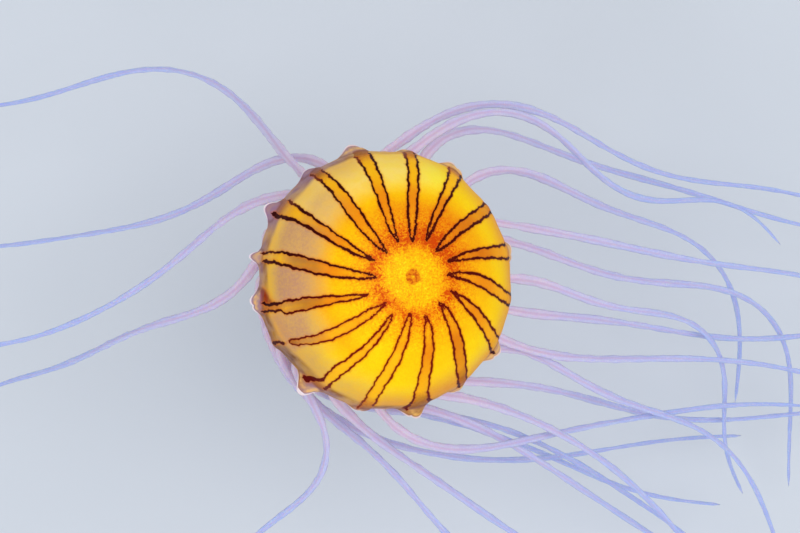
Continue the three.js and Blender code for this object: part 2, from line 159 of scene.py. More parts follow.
# ------------------------------------------------------------------ camera, at the view of a diver above the bell
def add_camera():
    elevation, distance = 87.9 * RAD, 1176.5
    forward = np.array([0, math.cos(elevation), -math.sin(elevation)])
    right = np.array([1.0, 0, 0])
    up = np.array([0, math.sin(elevation), math.cos(elevation)])
    place = (RIM_CENTRE - forward * distance + right * 9.08 + up * 8.03) * MM
    data = bpy.data.cameras.new("camera")
    data.lens, data.sensor_width = 85.0, 36.0
    data.clip_start, data.clip_end = 0.01, 20.0
    cam = bpy.data.objects.new("camera", data)
    m = Matrix.Identity(4)
    for i in range(3):
        m[i][0], m[i][1], m[i][2], m[i][3] = right[i], up[i], -forward[i], place[i]
    cam.matrix_world = m
    scene.collection.objects.link(cam)
    scene.camera = cam


add_camera()


# ------------------------------------------------------------------ the bell's shape
def flap_terms(azimuth):
    """Each flap's distance from an azimuth, in half widths, and how far it flares."""
    for k in range(8):
        yield wrap(azimuth - (FLAP_AZIMUTH + FLAP_SHIFT[k] + 45 * k)) / FLAP_HALF_WIDTH[k], FLAP_OUT[k]
        yield wrap(azimuth - (FLAP_AZIMUTH + 22.5 + MINOR_FLAP_SHIFT[k] + 45 * k)) / MINOR_HALF_WIDTH[k], MINOR_FLAP_OUT[k]


def flap_out(azimuth):
    out = np.zeros_like(azimuth, dtype=float)
    for d, flare in flap_terms(azimuth):
        out += flare * np.exp(-np.abs(d) ** 2.6)
    return out


def flap_cup(azimuth):
    """Height of a flap's two raised sides less its hollow middle."""
    out = np.zeros_like(azimuth, dtype=float)
    for d, flare in flap_terms(azimuth):
        out += flare / 6.0 * (np.exp(-((np.abs(d) - 0.8) / 0.32) ** 2) - 0.55 * np.exp(-(d / 0.42) ** 2))
    return out


def margin_swell(azimuth):
    x = (np.asarray(azimuth, float) % 360.0) * 16 / 360
    i = np.floor(x).astype(int)
    table = np.array(MARGIN_SWELL)
    return mix(table[i % 16], table[(i + 1) % 16], smooth(x - i))


def edge_angle(azimuth):
    s = np.abs(np.sin(azimuth * RAD * LAPPETS / 2))
    return BELL_EDGE_ANGLE - LAPPET_DEPTH * (1 - s ** 0.7) + 0.16 * flap_out(azimuth)


def wall(polar):
    t = polar / 90.0
    return np.where(t < 0.5, mix(WALL_CROWN, WALL_MID, smooth(t / 0.5)), mix(WALL_MID, WALL_EDGE, smooth((t - 0.5) / 0.5)))


def bell_point(polar, azimuth, depth, out=0.0):
    """Point in the bell's own frame. depth 0 is the outer face, 1 the inner; out moves it along the outward normal, in mm."""
    polar, azimuth = np.broadcast_arrays(np.asarray(polar, float), np.asarray(azimuth, float))
    p, a = polar * RAD, azimuth * RAD
    nr, nz = np.sin(p) / BELL_RADIUS, np.cos(p) / BELL_HEIGHT
    n = np.hypot(nr, nz)
    w = wall(polar) * depth - out
    r = BELL_RADIUS * np.sin(p) - w * nr / n
    z = BELL_HEIGHT * np.cos(p) - w * nz / n
    lift = np.maximum(0, (polar - FLAP_ROOT_ANGLE) / (BELL_EDGE_ANGLE - FLAP_ROOT_ANGLE))
    f = flap_out(azimuth)
    cup = flap_cup(azimuth)
    r = r + margin_swell(azimuth) * smooth((polar - 45) / 35) + f * lift * lift
    z = z + 0.45 * f * lift ** 3 + 1.3 * cup * smooth((lift - 0.25) / 0.75)
    return np.stack([r * np.cos(a), r * np.sin(a), z], -1)


# ------------------------------------------------------------------ the bell's markings, as fields over its surface
def poly(c, t):
    out = np.zeros_like(t)
    for k in reversed(range(len(c))):
        out = out * t + c[k]
    return out


def ribbon_fields(polar, azimuth):
    """For each point: signed distance in mm to the nearest ribbon's edge line (positive inside the ribbon),
    that line's half width, how far it fades, and how many degrees are left before the line ends."""
    polar, azimuth = np.broadcast_arrays(np.asarray(polar, float), np.asarray(azimuth, float))
    pol = np.maximum(polar, 0.5)
    deg_mm = RAD * BELL_RADIUS * np.sin(pol * RAD)
    step_mm = RAD * np.hypot(BELL_RADIUS * np.cos(pol * RAD), BELL_HEIGHT * np.sin(pol * RAD))
    best = np.full(pol.shape, -1e3)
    width = np.full(pol.shape, 0.6)
    fade = np.zeros(pol.shape)
    left_to_end = np.full(pol.shape, 20.0)
    for i, (tip, tip_az, centre, half, lines, fades, ends) in enumerate(RIBBONS):
        def edges(al):
            ae = np.clip(al, 20.0, 90.0)
            t = (ae - 50) / 40
            c = poly(centre, t)
            h = np.maximum(poly(half, t), 0.25)
            root = tip + 5.5
            start = np.clip((al - tip) / (root - tip), 0, 1)
            c = mix(np.full_like(c, tip_az), c, smooth((al - tip + 1.5) / 7.5))
            h = h * np.sqrt(start)
            k = 1.0 / np.maximum(RAD * BELL_RADIUS * np.sin(np.maximum(al, 4) * RAD), 1.0)
            if i == 10:  # this ribbon's lines meet in a point above the margin
                h = h * np.sqrt(np.clip((73.0 - al) / 5.0, 0, 1)) + 0.02
                c = c - 2.7 * smooth((al - 78) / 14)
            s = al * 1.25
            left = c - h + k * (0.30 * np.sin(s * 0.43 + 1.7 * i) + 0.2 * np.sin(s * 1.3 + 2.9 * i) + 0.08 * np.sin(s * 3.1 + i))
            right = c + h + k * (0.30 * np.sin(s * 0.47 + 2.3 * i + 1) + 0.2 * np.sin(s * 1.2 + 1.3 * i) + 0.08 * np.sin(s * 3.3 + 2 * i))
            if i == 11:  # this line turns aside as it reaches the flap
                left = left + 2.3 * smooth((al - 57) / 17) - 4.4 * smooth((al - 75) / 14)
            if i == 13:
                left = left - 2.6 * smooth((al - 70) / 14)
            if i == 9:  # a small jog in one line
                right = right - 1.6 * smooth((al - 66) / 2.0) + 0.5 * smooth((al - 70) / 8)
            return left, right
        l0, r0 = edges(pol)
        l1, r1 = edges(pol + 0.4)
        mid = 0.5 * (l0 + r0)
        d = wrap(azimuth - mid) + mid
        f_left, f_right = d - l0, r0 - d
        g_left = np.hypot(1 / deg_mm, ((l1 - l0) / 0.4) / step_mm)
        g_right = np.hypot(1 / deg_mm, ((r1 - r0) / 0.4) / step_mm)
        sd_l, sd_r = f_left / g_left, f_right / g_right
        sd = np.minimum(sd_l, sd_r)
        # above the tip the distance is to the tip itself
        over = pol < tip
        to_tip = -np.hypot((wrap(azimuth - tip_az)) * deg_mm, (tip - pol) * step_mm)
        sd = np.where(over, np.minimum(to_tip, sd), sd)
        left_side = sd_l < sd_r
        e = smooth((polar - 62) / 22)
        w = np.where(left_side, mix(lines[0], lines[1], e), mix(lines[2], lines[3], e))
        w = w * (1 + 0.08 * (0.5 + 0.5 * np.cos((azimuth - 12) * RAD)))
        fd = np.where(left_side, fades[0], fades[1]) * smooth((polar - 62) / 12)
        rest = np.where(left_side, ends[0], ends[1]) - polar
        if i == 10:
            w = w * mix(1.0, 0.35, smooth((polar - 72.5) / 0.8) * smooth((76.5 - polar) / 1.5)) + 0.45 * smooth((polar - 76) / 4)
            fd = fd * smooth((76 - polar) / 2)
        if i == 11:  # thickest just above the margin, then tapering to the flap
            w = np.where(left_side, 0.66 + 1.0 * smooth((polar - 71.5) / 2.5), w)
        if i == 13:
            w = np.where(left_side, 0.62 + 0.8 * smooth((polar - 72) / 9), w)
        better = sd > best
        best = np.where(better, sd, best)
        width = np.where(better, w, width)
        fade = np.where(better, fd, fade)
        left_to_end = np.where(better, rest, left_to_end)
    return best, width, fade, np.clip(left_to_end, -20, 20)


# smoky patches where the jelly holds less yellow, each between two ribbons: azimuth and half width,
# polar angle where it has grown in, polar angle where it has gone again, strength
THIN_PATCHES = [
    (140, 11, 54, 63, 0.55), (162, 12, 53, 72, 0.9), (184, 11, 53, 72, 1.0), (206, 11, 58, 78, 0.92),
    (217, 9, 63, 84, 0.55), (227, 11, 66, 84, 0.55), (248, 10, 68, 82, 0.45), (271, 9, 74, 88, 0.5),
    (295, 11, 68, 86, 0.85), (342, 12, 68, 86, 0.5), (2, 12, 68, 86, 0.42), (27, 12, 66, 86, 0.45),
    (318, 9, 76, 90, 0.45), (50, 9, 70, 86, 0.4), (117, 9, 74, 88, 0.4),
]
# ribbons that turn golden for part of their length: azimuth, polar angles where that begins and ends, strength
GOLDEN = [(62, 40, 73, 0.85), (84, 44, 73, 0.5), (106, 48, 74, 0.5), (128, 54, 76, 0.35), (151, 57, 82, 0.6), (173, 59, 96, 0.75),
          (216, 28, 52, 0.7), (237, 28, 82, 0.85), (259, 28, 74, 0.8), (331, 62, 98, 0.7)]
# where the layer of yellow stops and the clear margin begins, by azimuth
BAND_AZIMUTH = [0, 27, 50, 73, 95, 117, 139, 150, 162, 184, 206, 227, 248, 271, 295, 319, 342, 360]
BAND_START = [72, 71, 73, 76.5, 74, 77, 72.5, 75, 79, 78.5, 78.5, 75, 74.5, 77, 74, 76, 73, 72]


# how dark the ribbons' edge lines are, by azimuth: red-brown at the bottom, nearly black at the top
LINE_AZIMUTH = [0, 45, 90, 135, 180, 225, 270, 315, 360]
LINE_DARK = [0.74, 0.9, 0.98, 1.0, 0.88, 0.2, 0.08, 0.48, 0.74]
# stretches where a ribbon is painted browner, those running out to the margin as painted shade where the bell turns
# away: azimuth, polar angles where it begins and ends, strength
BROWN_PARTS = [(106, 72, 120, 0.42), (128, 68, 120, 0.66), (173, 38, 64, 0.33), (195, 38, 64, 0.4), (216, 64, 120, 0.85),
               (283, 62, 120, 0.6), (307, 56, 120, 0.48)]


def off_pole(polar, azimuth, shift):
    """Angle from a point that lies shift degrees off the pole, towards azimuth 308; further out, from the pole."""
    x, y = polar * np.cos(azimuth * RAD), polar * np.sin(azimuth * RAD)
    near = np.hypot(x - shift * math.cos(308 * RAD), y - shift * math.sin(308 * RAD))
    return mix(near, polar, smooth((polar - 17) / 22))


def tone_fields(polar, azimuth, sd):
    polar, azimuth, sd = np.broadcast_arrays(polar, azimuth, sd)
    az = azimuth
    # the crown's disc, and the spot in it, lie a little to one side of the pole
    disc = off_pole(polar, az, 1.4)
    # it falls short at the lower left
    disc = disc * (1 + 0.2 * bump(wrap(az - 245), 0, 42) * smooth((30 - polar) / 14))
    tone = np.interp(disc, [0, 8, 12, 14.8, 17, 21, 26, 30, 38, 46, 54, 64, 80, 100],
                     [0.61, 0.61, 0.60, 0.46, 0.32, 0.36, 0.48, 0.56, 0.66, 0.74, 0.79, 0.76, 0.66, 0.5])
    tone = tone - 0.10 * bump(disc, 18, 4.5) * smooth((75 - np.abs(wrap(az - 55))) / 30)
    # the lower left turns yellow nearer the crown; the upper right stays orange longer
    tone = tone + 0.13 * smooth((disc - 18) / 6) * smooth((45 - polar) / 13) * bump(wrap(az - 228), 0, 60)
    tone = tone - 0.17 * smooth((disc - 14) / 6) * smooth((50 - polar) / 14) * bump(wrap(az - 40), 0, 48)
    tone = tone + 0.26 * bump(wrap(az - 73), 0, 10) * bump(polar, 54, 14)
    tone = tone + 0.14 * bump(wrap(az - 95), 0, 10) * bump(polar, 52, 12)
    tone = tone + 0.06 * bump(wrap(az - 248), 0, 11) * bump(polar, 43, 9) - 0.07 * bump(wrap(az - 225), 0, 30) * bump(polar, 44, 8)
    tone = tone - 0.12 * bump(wrap(az - 22), 0, 26) * smooth((polar - 48) / 10)
    tone = tone - 0.14 * smooth((62 - np.abs(wrap(az - 180))) / 25) * bump(polar, 42, 9)
    tone = tone - 0.10 * smooth((70 - np.abs(wrap(az - 105))) / 30) * bump(disc, 19, 6)
    tone = tone - 0.09 * smooth((55 - np.abs(wrap(az - 85))) / 25) * bump(polar, 30, 6)
    # more orange under and to the right of the disc, across the top, and towards the right margin
    tone = tone - 0.09 * smooth((64 - np.abs(wrap(az - 256))) / 26) * bump(disc, 16, 3.6) - 0.05 * bump(wrap(az - 180), 0, 30) * bump(disc, 16, 4)
    tone = tone - 0.09 * smooth((68 - np.abs(wrap(az - 8))) / 30) * bump(disc, 14.5, 4)
    tone = tone - 0.06 * smooth((62 - np.abs(wrap(az - 88))) / 30) * bump(polar, 33, 8)
    tone = tone - 0.07 * bump(wrap(az - 62), 0, 34) * bump(disc, 16, 5)
    tone = tone - 0.17 * smooth((86 - np.abs(wrap(az - 328))) / 26) * smooth((polar - 56) / 16)
    tone = tone - 0.12 * smooth((15 - np.abs(wrap(az - 204))) / 7) * smooth((polar - 62) / 9)
    outside = np.maximum(-sd, 0)
    tone = tone - 0.16 * np.exp(-outside / 1.4) * smooth((60 - polar) / 20) * (sd < 0)
    thin = np.zeros_like(tone)
    for centre, half, p0, p1, strength in THIN_PATCHES:
        run = 20.0 if 120 < centre < 235 else 24.0
        grow = smooth((polar - p0 + run - 1) / run) * mix(0.4, 1.0, smooth((p1 + 4 - polar) / 10))
        thin = np.maximum(thin, strength * grow * smooth((half + 3.5 - np.abs(wrap(az - centre))) / 7))
    # a paler, milkier yellow along the top
    pale = 0.56 * smooth((62 - np.abs(wrap(az - 118))) / 40) * smooth((polar - 38) / 14)
    pale = pale + 0.10 * smooth((40 - np.abs(wrap(az - 325))) / 25) * smooth((polar - 50) / 14)
    # deep orange wedge beside one flap on the left
    up = wrap(191.5 - az)
    wedge = smooth((up + 1.4) / 2.0) * smooth((9.5 - up) / 4.0) * smooth((polar - 66.5 - 1.4 * up) / 11) * smooth((91 - polar) / 4)
    # ribbons of a deeper orange, towards the upper right and in one on the lower right
    deep = 0.62 * smooth((34 - np.abs(wrap(az - 36))) / 14) * bump(polar, 39, 11)
    deep = deep + 0.5 * smooth((9 - np.abs(wrap(az - 306))) / 4) * smooth((polar - 30) / 8)
    deep = deep + 0.35 * smooth((9 - np.abs(wrap(az - 40))) / 4) * smooth((polar - 46) / 10)
    # and others of gold, held as less than nothing in the same field
    for centre, p0, p1, strength in GOLDEN:
        deep = deep - strength * smooth((10 - np.abs(wrap(az - centre))) / 4) * smooth((polar - p0) / 9) * smooth((p1 - polar) / 10)
    band_start = np.interp(az % 360, BAND_AZIMUTH, BAND_START)
    # painted brown shade over the margin's lower left, and on a narrow stretch at the bottom
    dusk = bump(wrap(az - 214), 0, 22) + 0.75 * bump(wrap(az - 281), 0, 11)
    return tone, thin, wedge, polar - band_start, pale, disc, off_pole(polar, az, 0.0), dusk, deep


# ------------------------------------------------------------------ one mesh for the whole animal
FIELDS = ("sd", "lw", "fade", "rest", "tone", "thin", "wedge", "band", "pale", "disc", "spot", "dusk", "deep", "dark", "cool", "shade", "pol", "rimd", "flap", "inner",
          "lenu", "across", "along", "clear")


class Skin:
    def __init__(self):
        self.points, self.count = [], 0
        self.fields = {k: [] for k in FIELDS}
        self.faces = {3: [], 4: []}
        self.uvs = {3: [], 4: []}
        self.mats = {3: [], 4: []}

    def add(self, pts, **fields):
        pts = np.asarray(pts, float).reshape(-1, 3)
        n = len(pts)
        self.points.append(pts)
        for k in FIELDS:
            self.fields[k].append(np.broadcast_to(np.asarray(fields.get(k, 0.0), float), (n,)).copy())
        self.count += n
        return self.count - n

    def face(self, idx, uv, mat, flip=False):
        idx, uv = np.asarray(idx), np.asarray(uv, float)
        if flip:
            idx, uv = idx[:, ::-1], uv[:, ::-1]
        k = idx.shape[1]
        self.faces[k].append(idx)
        self.uvs[k].append(uv)
        self.mats[k].append(np.full(len(idx), mat))

    def bridge(self, a, na, ua, b, nb, ub, mat, flip=False):
        """Faces between closed rings a and b. ua and ub hold one more place than their ring has points."""
        i = np.arange(na)
        j = (i + 1) % na
        if nb == na:
            self.face(np.stack([a + i, b + i, b + j, a + j], 1), np.stack([ua[i], ub[i], ub[i + 1], ua[i + 1]], 1), mat, flip)
        elif nb == 2 * na:
            b0, b1, b2 = 2 * i, 2 * i + 1, (2 * i + 2) % nb
            self.face(np.stack([a + i, b + b0, b + b1], 1), np.stack([ua[i], ub[b0], ub[b1]], 1), mat, flip)
            self.face(np.stack([a + i, b + b1, b + b2, a + j], 1), np.stack([ua[i], ub[b1], ub[2 * i + 2], ua[i + 1]], 1), mat, flip)
        elif na == 2 * nb:
            self.bridge(b, nb, ub, a, na, ua, mat, not flip)
        else:
            raise ValueError("ring sizes")

    def pole(self, p, up, ring, n, ur, mat, flip=False):
        i = np.arange(n)
        self.face(np.stack([np.full(n, p), ring + i, ring + (i + 1) % n], 1),
                  np.stack([np.broadcast_to(up, (n, 2)), ur[i], ur[i + 1]], 1), mat, flip)

    def build(self, name, materials):
        pts = np.concatenate(self.points)
        me = bpy.data.meshes.new(name)
        loops, uvs, mats, totals = [], [], [], []
        for k in (4, 3):
            if self.faces[k]:
                f = np.concatenate(self.faces[k])
                loops.append(f.ravel())
                uvs.append(np.concatenate(self.uvs[k]).reshape(-1, 2))
                mats.append(np.concatenate(self.mats[k]))
                totals.append(np.full(len(f), k))
        loops, uvs = np.concatenate(loops), np.concatenate(uvs)
        mats, totals = np.concatenate(mats), np.concatenate(totals)
        me.vertices.add(len(pts))
        me.vertices.foreach_set("co", (pts * MM).ravel().astype(np.float32))
        me.loops.add(len(loops))
        me.loops.foreach_set("vertex_index", loops.astype(np.int32))
        me.polygons.add(len(totals))
        starts = np.concatenate([[0], np.cumsum(totals)[:-1]])
        me.polygons.foreach_set("loop_start", starts.astype(np.int32))
        me.polygons.foreach_set("material_index", mats.astype(np.int32))
        me.polygons.foreach_set("use_smooth", np.ones(len(totals), bool))
        layer = me.uv_layers.new(name="OFBake")
        layer.uv.foreach_set("vector", uvs.ravel().astype(np.float32))
        for k in FIELDS:
            at = me.attributes.new(k, "FLOAT", "POINT")
            at.data.foreach_set("value", np.concatenate(self.fields[k]).astype(np.float32))
        for m in materials:
            me.materials.append(m)
        me.update()
        me.validate(verbose=False)
        ob = bpy.data.objects.new(name, me)
        scene.collection.objects.link(ob)
        return ob


skin = Skin()
BELL, UNDER, ARM, TENTACLE = 0, 1, 2, 3

# the map: outer bell as a disc, underside as a smaller disc, arms and tentacles in strips
DISC_A, DISC_B = (0.346, 0.346, 0.338), (0.767, 0.767, 0.226)


def disc_uv(disc, share, azimuth):
    a = np.asarray(azimuth) * RAD
    return np.stack([disc[0] + disc[2] * share * np.cos(a), disc[1] + disc[2] * share * np.sin(a)], -1)


def markings(polar, azimuth):
    """All colour fields of the bell at these places, by name."""
    sd, lw, fade, rest = ribbon_fields(np.minimum(polar, 95.0), azimuth)
    tone, thin, wedge, band, pale, disc, spot, dusk, deep = tone_fields(polar, azimuth, sd)
    lift = np.maximum(0, (polar - FLAP_ROOT_ANGLE) / (BELL_EDGE_ANGLE - FLAP_ROOT_ANGLE))
    dark = np.interp(azimuth % 360, LINE_AZIMUTH, LINE_DARK) + 0.4 * smooth((polar - 54) / 26) - 0.1 * smooth((38 - polar) / 14)
    # the lines broaden towards the upper left and the bottom of the margin
    broader = 1 + 0.26 * smooth((polar - 46) / 16) * smooth((72 - np.abs(wrap(azimuth - 140))) / 26)
    lw = lw * (broader + 0.3 * smooth((polar - 62) / 14) * bump(wrap(azimuth - 268), 0, 24))
    # clear violet-grey flaps and margin between them, on the upper left
    cool = np.clip(bump(wrap(azimuth - 128), 0, 13) + bump(wrap(azimuth - 152), 0, 10), 0, 1)
    shade = np.zeros_like(dark)
    for centre, p0, p1, strength in BROWN_PARTS:
        shade = shade + strength * smooth((10 - np.abs(wrap(azimuth - centre))) / 4) * smooth((polar - p0) / 8) * smooth((p1 - polar) / 10)
    return dict(dark=np.clip(dark, 0, 1), cool=cool, shade=shade, sd=sd, lw=lw, fade=fade, rest=rest, tone=tone, thin=thin, wedge=wedge, band=band, pale=pale, disc=disc, spot=spot, dusk=dusk, deep=deep, pol=polar,
                clear=0.5 + 0.5 * np.cos((azimuth - 12) * RAD),
                flap=flap_out(azimuth) / 6.5 * smooth((lift - 0.12) / 0.6))


def ring_azimuths(n):
    return 360.0 * np.arange(n) / n


def relief_outer(polar, azimuth, sd, lw):
    """Quilting of the outer face: stripes lie in shallow grooves and the fields between them swell."""
    grow = smooth((polar - 18) / 40)
    groove = -0.34 * np.exp(-(sd / (1.2 + lw)) ** 2) * smooth((polar - 14) / 10) * mix(0.6, 1.0, grow)
    far = smooth((polar - 52) / 20)
    inside = mix(-0.22, 0.35, far) * smooth(sd / 1.2) * grow
    swell = mix(0.5, -0.75, far) * (1 - np.exp(-(np.minimum(sd, 0) / 5.5) ** 2)) * grow
    a = azimuth * RAD
    soft = 0.16 * np.sin(3 * a + 0.08 * polar + 1) * np.sin(0.11 * polar) + 0.1 * np.sin(7 * a - 0.13 * polar)
    centre = 0.18 * bump(polar, 6.5, 3.5) - 0.25 * bump(polar, 0, 3.0)
    # the flaps are puffed like small pillows
    puff = 0.0
    for d, flare in flap_terms(azimuth):
        puff = puff + 0.16 * flare * np.exp(-np.abs(d / 0.75) ** 2.2)
    puff = puff * smooth((polar - 83) / 5) * smooth((95.5 - polar) / 4)
    return groove + inside + swell + soft * smooth(polar / 25) + centre + puff


def add_bell():
    # outer face, from the crown to the margin
    polars = list(np.arange(1.0, 31.0, 1.0)) + list(np.linspace(31.2, 76.0, 37))
    near, extra = len(polars), 26
    last_uv = disc_uv(DISC_A, 0.0, 0.0)
    pole = skin.add(to_world(bell_point(0.0, 0.0, 0.0, relief_outer(np.array(0.0), np.array(0.0), np.array(-20.0), np.array(0.6)))),
                    sd=-20, lw=0.6, tone=0.66, band=-70, pol=0, rest=20, rimd=100, disc=1.4, spot=0.0)
    total = near + extra
    rings = []
    for k in range(total):
        if k < near:
            base, f = polars[k], 0.0
        else:
            base, f = 76.0, (k + 1 - near) / extra
        n = 48 if base < 4.5 else 96 if base < 10.5 else 192 if base < 23.5 else 384
        az = ring_azimuths(n)
        edge = edge_angle(az)
        al = base + (edge - 76.0) * f if k >= near else np.full(n, base)
        pts = to_world(bell_point(al, az, 0.0, relief_outer(al, az, *ribbon_fields(al, az)[:2]) * smooth((edge - al) / 4.0)))
        start = skin.add(pts, rimd=(edge - al) * 1.25, **markings(al, az))
        share = (al / 95.5) * 0.985
        uv = disc_uv(DISC_A, np.append(share, share[0]), np.append(az, 360.0))
        if rings:
            skin.bridge(rings[-1][0], rings[-1][1], rings[-1][2], start, n, uv, BELL)
        else:
            skin.pole(pole, last_uv, start, n, uv, BELL)
        rings.append((start, n, uv))
    outer_edge = rings[-1]
    # rim: a rounded bead between the faces
    n = 384
    az = ring_azimuths(n)
    edge = edge_angle(az)
    e0 = to_world(bell_point(edge, az, 0.0))
    e1 = to_world(bell_point(edge, az, 1.0))
    before = to_world(bell_point(edge - 1.0, az, 0.5))
    mid = 0.5 * (e0 + e1)
    tangent = unit(mid - before)
    r = np.linalg.norm(e0 - e1, axis=1, keepdims=True) * 0.5
    marks = markings(edge, az)
    prev = outer_edge
    for j in range(1, 6):
        th = math.pi * j / 6
        pts = mid + (e0 - mid) * math.cos(th) * 1.12 + tangent * r * math.sin(th) * 0.7
        start = skin.add(pts, rimd=-0.3 * j, **marks)
        share = (edge / 95.5) * 0.985 + 0.003 * j
        uv = disc_uv(DISC_A, np.append(share, share[0]), np.append(az, 360.0))
        skin.bridge(prev[0], prev[1], prev[2], start, n, uv, BELL)
        prev = (start, n, uv)
    return prev


def stalk_profile():
    """Radius and height of the mouth stalk in the bell's frame, from its root down to the lips and in to the rod."""
    return [(17.4, 42.6), (15.0, 39.8), (12.6, 36.6), (10.6, 32.6), (9.2, 28.2), (8.2, 23.4), (7.6, 18.6), (7.3, 14.4),
            (7.7, 10.8), (8.6, 8.0), (9.5, 5.6), (9.4, 3.9), (8.3, 3.0), (6.8, 3.2), (5.2, 3.9), (3.9, 4.6), (3.1, 4.9)]


def catmull(points, per):
    p = np.array(points, float)
    p = np.vstack([2 * p[0] - p[1], p, 2 * p[-1] - p[-2]])
    out = []
    for i in range(1, len(p) - 2):
        for j in range(per):
            t = j / per
            out.append(0.5 * ((2 * p[i]) + (-p[i - 1] + p[i + 1]) * t + (2 * p[i - 1] - 5 * p[i] + 4 * p[i + 1] - p[i + 2]) * t * t
                              + (-p[i - 1] + 3 * p[i] - 3 * p[i + 1] + p[i + 2]) * t ** 3))
    out.append(p[-2])
    return np.array(out)


def relief_inner(polar, azimuth):
    """Outward move of the underside: muscle bands, sixteen partitions and four folded gonads round the stalk."""
    a = azimuth * RAD
    near = np.minimum((azimuth - 11.25) % 22.5, 22.5 - (azimuth - 11.25) % 22.5)
    mm = near * RAD * BELL_RADIUS * np.sin(np.maximum(polar, 5) * RAD)
    ridge = -0.45 * np.exp(-(mm / 1.1) ** 2) * smooth((polar - 40) / 6) * smooth((90 - polar) / 4)
    ring_muscle = 0.10 * np.sin(polar * 3.4) * smooth((polar - 50) / 8) * smooth((86 - polar) / 4)
    q = np.cos(4 * a)
    lobe = clamp01((q + 0.15) / 0.9) ** 0.7 * smooth((polar - 20) / 5) * smooth((47 - polar) / 6)
    folds = 0.55 + 0.45 * np.sin(azimuth * 0.42 * 3 + 3.0 * np.sin(polar * 0.55)) * np.cos(polar * 1.15 + 0.4 * np.sin(azimuth * 0.3))
    gonad = -1.9 * lobe * folds
    return ridge + ring_muscle + gonad, lobe


def add_underside(prev):
    arc_total = 100 + 54.0
    rows = []
    for k in range(0, 19):
        rows.append(("edge", k / 18.0, 384))
    for al in np.arange(74.0, 17.9, -1.6):
        rows.append(("polar", al, 192))
    for kind, val, n in rows:
        az = ring_azimuths(n)
        if kind == "edge":
            e = edge_angle(az)
            al = e + (75.5 - e) * val
        else:
            al = np.full(n, val)
        rel, lobe = relief_inner(al, az)
        e = edge_angle(az)
        pts = to_world(bell_point(al, az, 1.0, rel * smooth((e - al) / 4.0)))
        start = skin.add(pts, rimd=(e - al) * 1.25, inner=1.0, across=lobe, **markings(al, az))
        share = 1.0 - (95.5 - al) * 1.2 / arc_total
        uv = disc_uv(DISC_B, np.append(share, share[0]), np.append(az, 360.0))
        skin.bridge(prev[0], prev[1], prev[2] if prev[1] != 384 or rows[0] != (kind, val, n) else uv, start, n, uv, UNDER)
        prev = (start, n, uv)
        last_share = share[0] if np.ndim(share) else share
    # mouth stalk, running on from the underside without a step
    last_al = rows[-1][1]
    rel, lobe = relief_inner(np.array([last_al]), np.array([45.0]))
    p0 = bell_point(last_al, 0.0, 1.0)
    p00 = bell_point(last_al + 3.2, 0.0, 1.0)
    prof = [(p00[0], p00[2]), (p0[0], p0[2])] + stalk_profile()
    curve = catmull(prof, 3)
    curve = curve[4:]
    seg = np.concatenate([[0], np.cumsum(np.hypot(*(np.diff(curve, axis=0).T)))])
    share0 = last_share
    n = 96
    for i, (r, z) in enumerate(curve):
        az = ring_azimuths(n)
        a = az * RAD
        low = smooth((37 - z) / 12)
        lobes = 1 + 0.15 * (-np.cos(4 * a)) * mix(0.2, 1.0, low) * smooth((r - 2.5) / 2.5)
        lip = smooth((10 - z) / 5) * smooth((r - 3.2) / 3)
        frill = 0.5 * lip * np.sin(20 * a + 0.6) + 0.3 * lip * np.sin(34 * a)
        rr = r * lobes + frill
        zz = z + 0.6 * lip * np.sin(20 * a + 1.9) + 0.15 * np.sin(12 * a) * low
        pts = to_world(np.stack([rr * np.cos(a), rr * np.sin(a), zz], -1))
        start = skin.add(pts, inner=2.0, along=i / len(curve), across=-np.cos(4 * a), lenu=lip, sd=-20, pol=0)
        share = share0 * (1 - (seg[i] + 1.5) / (seg[-1] + 4.0))
        uv = disc_uv(DISC_B, np.full(n + 1, share), np.append(az, 360.0))
        skin.bridge(prev[0], prev[1], prev[2], start, n, uv, UNDER)
        prev = (start, n, uv)
    end = skin.add(to_world(np.array([[0, 0, 5.1]])), inner=2.0, along=1.0, sd=-20)
    skin.pole(end, disc_uv(DISC_B, 0.0, 0.0), prev[0], prev[1], prev[2], UNDER, flip=True)


# ------------------------------------------------------------------ oral arms
def arm_point(k, u):
    phi = (45 + 90 * k + 38 * u + 16 * np.sin(2 * math.pi * 1.25 * u + k * 1.9) - 16 * math.sin(k * 1.9)) * RAD
    rho = 8.5 + 14 * smooth(u * 2.6) + (12 + 4 * math.sin(k * 2.3)) * u + 3 * np.sin(2 * math.pi * 2.2 * u + k) * u
    x = -9 * smooth(u * 1.4) + rho * np.cos(phi)
    y = rho * np.sin(phi)
    z = MOUTH_ABOVE_BASE - 1.8 - (ARM_DROP + 14 * math.sin(1.7 * k + 0.6)) * u - (1 - smooth(u * 8)) * x * math.tan(BELL_TILT * RAD)
    return np.stack([x, y, z], -1)


def arm_half_width(u):
    return 5 + 6 * smooth(u * 5) - 9 * smooth((u - 0.15) / 0.85)


def arm_half_thickness(u):
    return 1.9 - u


